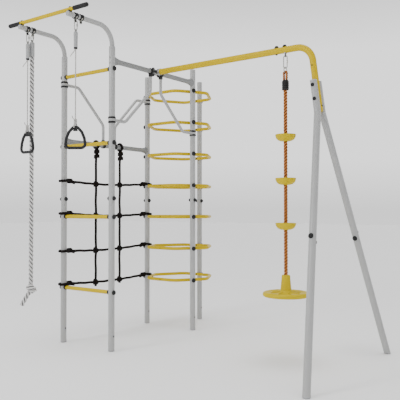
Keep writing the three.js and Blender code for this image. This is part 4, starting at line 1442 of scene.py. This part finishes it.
@dataclass(frozen=True)
class GymRing:
    """Triangular handle on a thin cord with a sleeve, an eye and a wrapped knot."""

    label: str
    x: float
    yaw: float
    hook: Body
    body: Body
    y: float = -0.930
    top: float = 2.572
    pivot: float = 2.500
    sleeve_low: float = 2.357
    cord_radius: float = 0.0045
    handle_low: float = 1.593

    def build(self) -> None:
        """Makes the link, sleeve, cord, knot and handle."""
        OvalLink(0.0041, 0.015).build(f"gym_oval_{self.label}", self.x, self.y, self.top, self.pivot,
                                      self.hook, f"gym_link_{self.label}")
        self.sleeve()
        self.handle()
        self.cord()

    def sleeve(self) -> None:
        """Makes the steel eye, the grey sleeve and its black lower lip."""
        ring = [DATUM.at(self.x, self.y + 0.008 * math.cos(math.tau * i / 32),
                         self.pivot + 0.008 * math.sin(math.tau * i / 32)) for i in range(32)]
        Shell().tube(ring, 0.003, 14, closed=True).place(
            f"gym_eye_{self.label}", ZINC, self.body, f"gym_sleeve_{self.label}")
        place = aim(DATUM.at(self.x, self.y, 0.0), (0, 0, 1))
        top, low = self.pivot - 0.010, self.sleeve_low + 0.010
        profile = [(0.0, low), (0.0144, low), (0.0150, low + 0.001), (0.0149, low + 0.05),
                   (0.0162, top - 0.012), (0.0144, top - 0.004), (0.0118, top), (0.0, top)]
        Shell().turned(profile, place, 32).place(f"gym_sleeve_tube_{self.label}", SLEEVE, self.body)
        lip = [(0.0, low - 0.010), (0.0118, low - 0.010), (0.0140, low - 0.007), (0.0152, low - 0.001),
               (0.0152, low + 0.002), (0.0, low + 0.002)]
        Shell().turned(lip, place, 32).place(f"gym_sleeve_lip_{self.label}", BLACK, self.body)

    def cord(self) -> None:
        """Makes the cord down to the handle, its wrapped knot and two loose tails."""
        top = DATUM.at(self.x, self.y, self.sleeve_low)
        low = DATUM.at(self.x, self.y, 1.7790)
        path = straight(top, low, 60)
        cord = Shell().tube(path, self.cord_radius, 14).place(
            f"gym_cord_line_{self.label}", WHITE_CORD, self.body, f"gym_cord_{self.label}")
        knot = Shell()
        centre = DATUM.at(self.x, self.y, 1.803)
        knot.tube(coil(centre, (0, 0, 1), self.cord_radius + 0.0040, 5.0, 0.0086), 0.0044, 12)
        tail = [centre + Vector((-0.008, -0.004, 0.016)), centre + Vector((-0.020, -0.008, 0.030)),
                centre + Vector((-0.024, -0.010, 0.046))]
        knot.tube(smooth(tail, 6), 0.0036, 10)
        for way in (-1, 1):
            loop = [centre + Vector((0.0, 0.004 * way, -0.018)), centre + Vector((0, 0.014 * way, -0.024)),
                    centre + Vector((0, 0.0165 * way, -0.034)), centre + Vector((0, 0.013 * way, -0.045))]
            knot.tube(smooth(loop, 6), 0.0040, 10)
        wrap = knot.place(f"gym_knot_{self.label}", WHITE_CORD, self.body)
        loose = Shell()
        start = DATUM.at(self.x - 0.004, self.y, self.sleeve_low + 0.004)
        points = [start, start + Vector((-0.010, -0.004, -0.020)), start + Vector((-0.026, -0.012, -0.040)),
                  start + Vector((-0.036, -0.018, -0.058))]
        loose.tube(smooth(points, 8), 0.0034, 10)
        end = loose.place(f"gym_loose_tail_{self.label}", WHITE_CORD, self.body)

    def handle(self) -> None:
        """Makes the rounded triangle handle with its top web and moulded grip ribs."""
        circles = [(-0.044, 0.031, 0.031), (0.044, 0.031, 0.031), (0.024, 0.062, 0.046),
                   (0.010, 0.096, 0.046), (0.0, 0.128, 0.032), (-0.010, 0.096, 0.046),
                   (-0.024, 0.062, 0.046)]
        turn = Matrix.Rotation(math.radians(self.yaw), 4, "Z")
        base = Matrix.Translation(DATUM.at(self.x, self.y, self.handle_low + 0.0115)) @ turn
        path = [base @ Vector((u, 0.0, v)) for u, v in band_loop(circles, 10)]
        dense: list[Vector] = []
        for i, point in enumerate(path):
            following = path[(i + 1) % len(path)]
            pieces = max(1, int((following - point).length / 0.005))
            dense.extend(point.lerp(following, k / pieces) for k in range(pieces))
        radii = []
        for i, point in enumerate(dense):
            local = base.inverted() @ point
            rib = 0.0005 * math.cos(i * math.pi) if local.z < 0.006 and abs(local.x) < 0.045 else 0.0
            radii.append(0.0112 + rib)
        shell = Shell().tube(dense, radii, 24, closed=True)
        outline = band_loop([(-0.0125, 0.133, 0.0055), (0.0125, 0.133, 0.0055), (0.0, 0.152, 0.0075)], 8)
        rings = [[base @ Vector((u * grow, y, 0.142 + (v - 0.142) * grow)) for u, v in outline]
                 for y, grow in ((-0.0048, 0.86), (-0.0038, 1.0), (0.0038, 1.0), (0.0048, 0.86))]
        shell.rings(np.array(rings), False, [0.0, 0.001, 0.009, 0.010])
        shell.place(f"gym_handle_grip_{self.label}", BLACK, self.body, f"gym_handle_{self.label}")


@dataclass(frozen=True)
class ClimbingRope:
    """Thick three-strand rope with a link, an eye, a grey top sleeve and an end knot."""

    x: float = -TOWER_X
    y: float = -0.887
    radius: float = 0.018
    lay: float = 0.105
    top: float = 2.572
    pivot: float = 2.521
    knot_z: float = 0.520

    def build(self) -> None:
        """Makes every piece of the rope."""
        OvalLink(0.0041, 0.015).build("climb_oval", self.x, self.y, self.top, self.pivot, Body.CLIMB_HOOK,
                                      "climb_link")
        ring = [DATUM.at(self.x, self.y + 0.008 * math.cos(math.tau * i / 32),
                         self.pivot + 0.008 * math.sin(math.tau * i / 32)) for i in range(32)]
        eye = Shell().tube(ring, 0.003, 14, closed=True).place("climb_eye", ZINC, Body.CLIMB_SET)
        place = aim(DATUM.at(self.x, self.y, 0), (0, 0, 1))
        top, low = self.pivot - 0.010, 2.391
        profile = [(0.0188, low), (0.0200, low), (0.0204, low + 0.002), (0.0201, low + 0.06),
                   (0.0204, top - 0.010), (0.0190, top - 0.003), (0.0150, top), (0.0, top)]
        sleeve = Shell().turned(profile, place, 36).place("climb_sleeve", SLEEVE, Body.CLIMB_SET)
        start = DATUM.at(self.x, self.y, top - 0.014)
        path = self.route(start)
        rope = Shell().rope(path, self.radius * 1.08, self.lay, Lay.S).place(
            "climb_rope_line", WHITE_ROPE, Body.CLIMB_SET, "climb_rope")
        Line(path, False).lengths()[-1]
        self.knot()

    def route(self, start: Vector) -> list[Vector]:
        """Returns the rope's centre line: straight down, through the knot and out along the tail."""
        upper = DATUM.at(self.x, self.y, self.knot_z)
        path = straight(start, upper, int((start - upper).length / 0.005))
        low = DATUM.at(self.x - 0.060, self.y - 0.044, 0.358)
        turn = DATUM.at(self.x - 0.004, self.y - 0.003, 0.478)
        bend = smooth([upper, turn, turn.lerp(low, 0.5), low], 12)
        return path + bend[1:]

    def knot(self) -> bpy.types.Object:
        """Makes the overhand knot's turns round the rope.

        Returns:
            The knot.
        """
        base = DATUM.at(self.x, self.y, 0.493)
        turn = Matrix.Rotation(math.radians(36.5), 4, "Z")
        local = [(-0.012, -0.010, 0.026), (0.006, -0.022, 0.020), (0.027, -0.016, 0.006),
                 (0.031, 0.004, -0.012), (0.010, 0.022, -0.016), (-0.016, 0.020, -0.004),
                 (-0.023, -0.002, 0.008), (-0.010, -0.022, 0.002), (0.012, -0.020, -0.014),
                 (0.016, -0.004, -0.026)]
        points = [base + turn @ Vector(p) for p in local]
        return Shell().rope(smooth(points, 9), self.radius * 0.98, self.lay * 0.8, Lay.S).place(
            "climb_knot", WHITE_ROPE, Body.CLIMB_SET)


@dataclass(frozen=True)
class DiscSwing:
    """Twisted rope with three bowl-shaped foot discs and a round seat under the beam."""

    x: float = 1.290
    hook_z: float = 2.302
    pivot: float = 2.206
    radius: float = 0.0145
    lay: float = 0.069
    tops: tuple[float, float, float] = (1.705, 1.376, 1.038)

    def build(self) -> None:
        """Makes the whole swing."""
        OvalLink(0.004, 0.015).build("swing_oval", self.x, 0.0, self.hook_z, self.pivot, Body.SWING_HOOK,
                                     "swing_link")
        self.head()
        for i, top in enumerate(self.tops, 1):
            self.disc(i, top)
        self.seat()
        self.rope()

    def head(self) -> None:
        """Makes the round ring, the rope eye and the ribbed crimp."""
        centre = 2.191
        ring = [DATUM.at(self.x, 0.023 * math.cos(angle), centre + 0.023 * math.sin(angle))
                for angle in (math.tau * i / 48 for i in range(48))]
        Shell().tube(ring, 0.003, 16, closed=True).place("swing_ring", ZINC, Body.SWING_SET, "swing_eye")
        loop = band_loop([(0.0, 2.110, 0.0105), (0.0, 2.1685, 0.0125)], 16)
        path = [DATUM.at(self.x + u, 0.0, v) for u, v in loop]
        Shell().rope(evened(path + path[:1], 0.0025), 0.0098, 0.046, Lay.Z).place(
            "swing_rope_eye", BROWN_ROPE, Body.SWING_SET)
        place = aim(DATUM.at(self.x, 0, 0), (0, 0, 1))
        low, high = 2.039, 2.114
        profile = [(0.0, low), (0.0215, low), (0.0238, low + 0.002)]
        ribs = 5
        for k in range(ribs):
            z = low + 0.004 + k * (high - low - 0.008) / ribs
            step = (high - low - 0.008) / ribs
            profile += [(0.0265, z + 0.001), (0.0268, z + step * 0.35), (0.0265, z + step * 0.66),
                        (0.0238, z + step * 0.74), (0.0238, z + step * 0.94)]
        profile += [(0.0215, high), (0.0, high)]
        Shell().turned(profile, place, 40).place("swing_crimp", RUBBER, Body.SWING_SET)

    def disc(self, number: int, top: float) -> None:
        """Makes one foot disc: flat top with a soft rim and a moulded bowl."""
        place = aim(DATUM.at(self.x, 0, top), (0, 0, 1))
        profile = [(0.0162, -0.054), (0.0200, -0.054), (0.0240, -0.0525)]
        for k in range(1, 15):
            angle = k / 15 * math.pi / 2
            profile.append((0.024 + 0.0520 * math.sin(angle), -0.0525 + 0.0425 * (1 - math.cos(angle))))
        profile += [(0.0775, -0.0085), (0.0785, -0.0055), (0.0780, -0.0022), (0.0755, -0.0004), (0.0720, 0.0),
                    (0.0660, -0.0010), (0.0600, -0.0016), (0.0300, -0.0010), (0.0225, 0.0), (0.0200, 0.0),
                    (0.0162, -0.0005), (0.0162, -0.054)]
        Shell().turned(profile, place, 72).place(
            f"foot_disc_bowl_{number}", YELLOW_PLASTIC, Body.SWING_SET, f"foot_disc_{number}")

    def seat(self) -> None:
        """Makes the seat disc with its rolled rim, shallow recess and hub, and eight radial ribs on its top.
        """
        place = aim(DATUM.at(self.x, 0, 0), (0, 0, 1))
        profile = [(0.0162, 0.4840), (0.1500, 0.4840), (0.1640, 0.4855), (0.1710, 0.4900), (0.1740, 0.4970),
                   (0.1740, 0.5060), (0.1715, 0.5130), (0.1655, 0.5180), (0.1580, 0.5200), (0.1500, 0.5188),
                   (0.1400, 0.5150), (0.1250, 0.5128), (0.0900, 0.5140), (0.0620, 0.5185), (0.0500, 0.5235),
                   (0.0430, 0.5320), (0.0405, 0.5420), (0.0360, 0.5900), (0.0322, 0.6380), (0.0306, 0.6440),
                   (0.0275, 0.6470), (0.0162, 0.6470), (0.0162, 0.4840)]
        shell = Shell().turned(profile, place, 96)
        shell.place("swing_seat_disc", YELLOW_PLASTIC, Body.SWING_SET, "swing_seat")
        ribs = Shell()
        for k in range(8):
            turn = Matrix.Rotation(math.tau * k / 8, 4, "Z")
            rings = []
            for reach, height in ((0.046, 0.010), (0.060, 0.005), (0.085, 0.0022), (0.115, 0.0010)):
                half = 0.0028
                spots = [(reach, -half, 0.514), (reach, half, 0.514), (reach, half * 0.6, 0.5175 + height),
                         (reach, -half * 0.6, 0.5175 + height)]
                rings.append([DATUM.at(self.x, 0, 0) + turn @ Vector(s) for s in spots])
            ribs.rings(np.array(rings), False, [0.0, 0.014, 0.040, 0.070])
        ribs.place("swing_seat_ribs", YELLOW_PLASTIC, Body.SWING_SET)

    def rope(self) -> None:
        """Makes the rope from the crimp down into the seat's hub."""
        start, end = DATUM.at(self.x, 0, 2.0385), DATUM.at(self.x, 0, 0.487)
        path = straight(start, end, int((start - end).length / 0.0035))
        line = Shell().rope(path, self.radius * 1.08, self.lay, Lay.Z).place(
            "swing_rope_line", BROWN_ROPE, Body.SWING_SET, "swing_rope")
        tuple(start)


# ---------------------------------------------------------------- studio


@dataclass(frozen=True)
class Studio:
    """Pale floor, soft lights, pale surroundings and the camera."""

    camera_at: tuple[float, float, float] = (3.488, -4.058, 1.139)
    pitch: float = 91.076
    heading: float = 36.484
    lens: float = 54.62
    shift: float = -0.005
    floor_half: float = 40.0
    floor_drop: float = 0.002
    sky_strength: float = 1.6
    sky_bands: tuple[tuple[float, float], ...] = ((0.0, 0.72), (0.08, 1.0), (0.25, 1.0), (0.50, 0.16))

    def build(self) -> None:
        """Makes the camera first, then floor, world and lights."""
        self.camera()
        self.floor()
        self.world()
        self.lamp("key", (-1.5, -6.5, 5.0), 2.0, 190.0)
        self.sky("top", 60.0, 2.7)

    def camera(self) -> None:
        """Makes the camera, at chest height and turned towards the tower."""
        data = bpy.data.cameras.new("camera")
        data.lens = self.lens
        data.sensor_width = 36.0
        data.shift_y = self.shift
        data.clip_end = 200.0
        camera = bpy.data.objects.new("camera", data)
        camera.location = DATUM.at(*self.camera_at)
        camera.rotation_euler = (math.radians(self.pitch), 0.0, math.radians(self.heading))
        bpy.context.scene.collection.objects.link(camera)
        bpy.context.scene.camera = camera

    def floor(self) -> None:
        """Makes the pale floor."""
        mesh = bpy.data.meshes.new("floor")
        half, z = self.floor_half, -self.floor_drop
        corners = [(-half, -half, z), (half, -half, z), (half, half, z), (-half, half, z)]
        mesh.from_pydata(corners, [], [(0, 1, 2, 3)])
        mesh.materials.append(FLOOR.material())
        floor = bpy.data.objects.new("floor", mesh)
        bpy.context.scene.collection.objects.link(floor)

    def world(self) -> None:
        """Gives pale surroundings, brightest just above the horizon."""
        world = bpy.data.worlds.new("studio")
        world.use_nodes = True
        tree = world.node_tree
        background = tree.nodes["Background"]
        place = tree.nodes.new("ShaderNodeTexCoord")
        split = tree.nodes.new("ShaderNodeSeparateXYZ")
        ramp = tree.nodes.new("ShaderNodeValToRGB")
        ends = ramp.color_ramp.elements
        ends[1].position = self.sky_bands[-1][0]
        for height, _ in self.sky_bands[1:-1]:
            ends.new(height)
        for i, (_, level) in enumerate(self.sky_bands):
            ends[i].color = (level, level, level, 1.0)
        tree.links.new(place.outputs["Generated"], split.inputs[0])
        tree.links.new(split.outputs["Z"], ramp.inputs["Fac"])
        tree.links.new(ramp.outputs["Color"], background.inputs["Color"])
        background.inputs["Strength"].default_value = self.sky_strength
        bpy.context.scene.world = world

    def lamp(self, name: str, at: tuple[float, float, float], size: float, power: float) -> None:
        """Makes one large soft lamp aimed at the middle of the frame."""
        data = bpy.data.lights.new(name, "AREA")
        data.shape = "DISK"
        data.size = size
        data.energy = power
        lamp = bpy.data.objects.new(name, data)
        lamp.location = DATUM.at(*at)
        target = DATUM.at(0.4, 0.0, 1.2)
        lamp.rotation_euler = (target - lamp.location).to_track_quat("-Z", "Y").to_euler()
        bpy.context.scene.collection.objects.link(lamp)

    def sky(self, name: str, spread: float, strength: float) -> None:
        """Makes an even soft light from overhead; spread is its angular size in degrees."""
        data = bpy.data.lights.new(name, "SUN")
        data.angle = math.radians(spread)
        data.energy = strength
        bpy.context.scene.collection.objects.link(bpy.data.objects.new(name, data))


def main() -> None:
    """Builds the studio and every sub-assembly in order."""
    logging.basicConfig(level=logging.INFO, format="%(name)s: %(message)s")
    beam = Beam()
    assemblies = [
        Studio(),
        ClimbingRope(),
        GymRing("a", -TOWER_X, 0.0, Body.GYM_A_HOOK, Body.GYM_A_SET),
        GymRing("b", 0.0, 34.0, Body.GYM_B_HOOK, Body.GYM_B_SET),
        DiscSwing(),
        Posts(),
        Arms(),
        PullupBar(),
        beam,
        Legs(beam),
        Crossbar("crossbar_upper", 0.0, 2.346, 0.039),
        Crossbar("crossbar_net", -TOWER_X, 1.730, 0.034),
        *(KneeBrace(post, -TOWER_X, side, 2.218, 0.380, 0.075, 1.917, 1.730)
          for post, side in (("a", -1), ("c", 1))),
        *(KneeBrace(post, 0.0, side, 1.863, 0.387, 0.068, 2.165, 2.346)
          for post, side in (("b", -1), ("d", 1))),
        Rungs(),
        TowerRings(),
        Net(),
    ]
    for assembly in assemblies:
        before = len(bpy.data.objects)
        assembly.build()
        LOG.info("%s: %d objects", type(assembly).__name__, len(bpy.data.objects) - before)


if __name__ == "__main__":
    main()
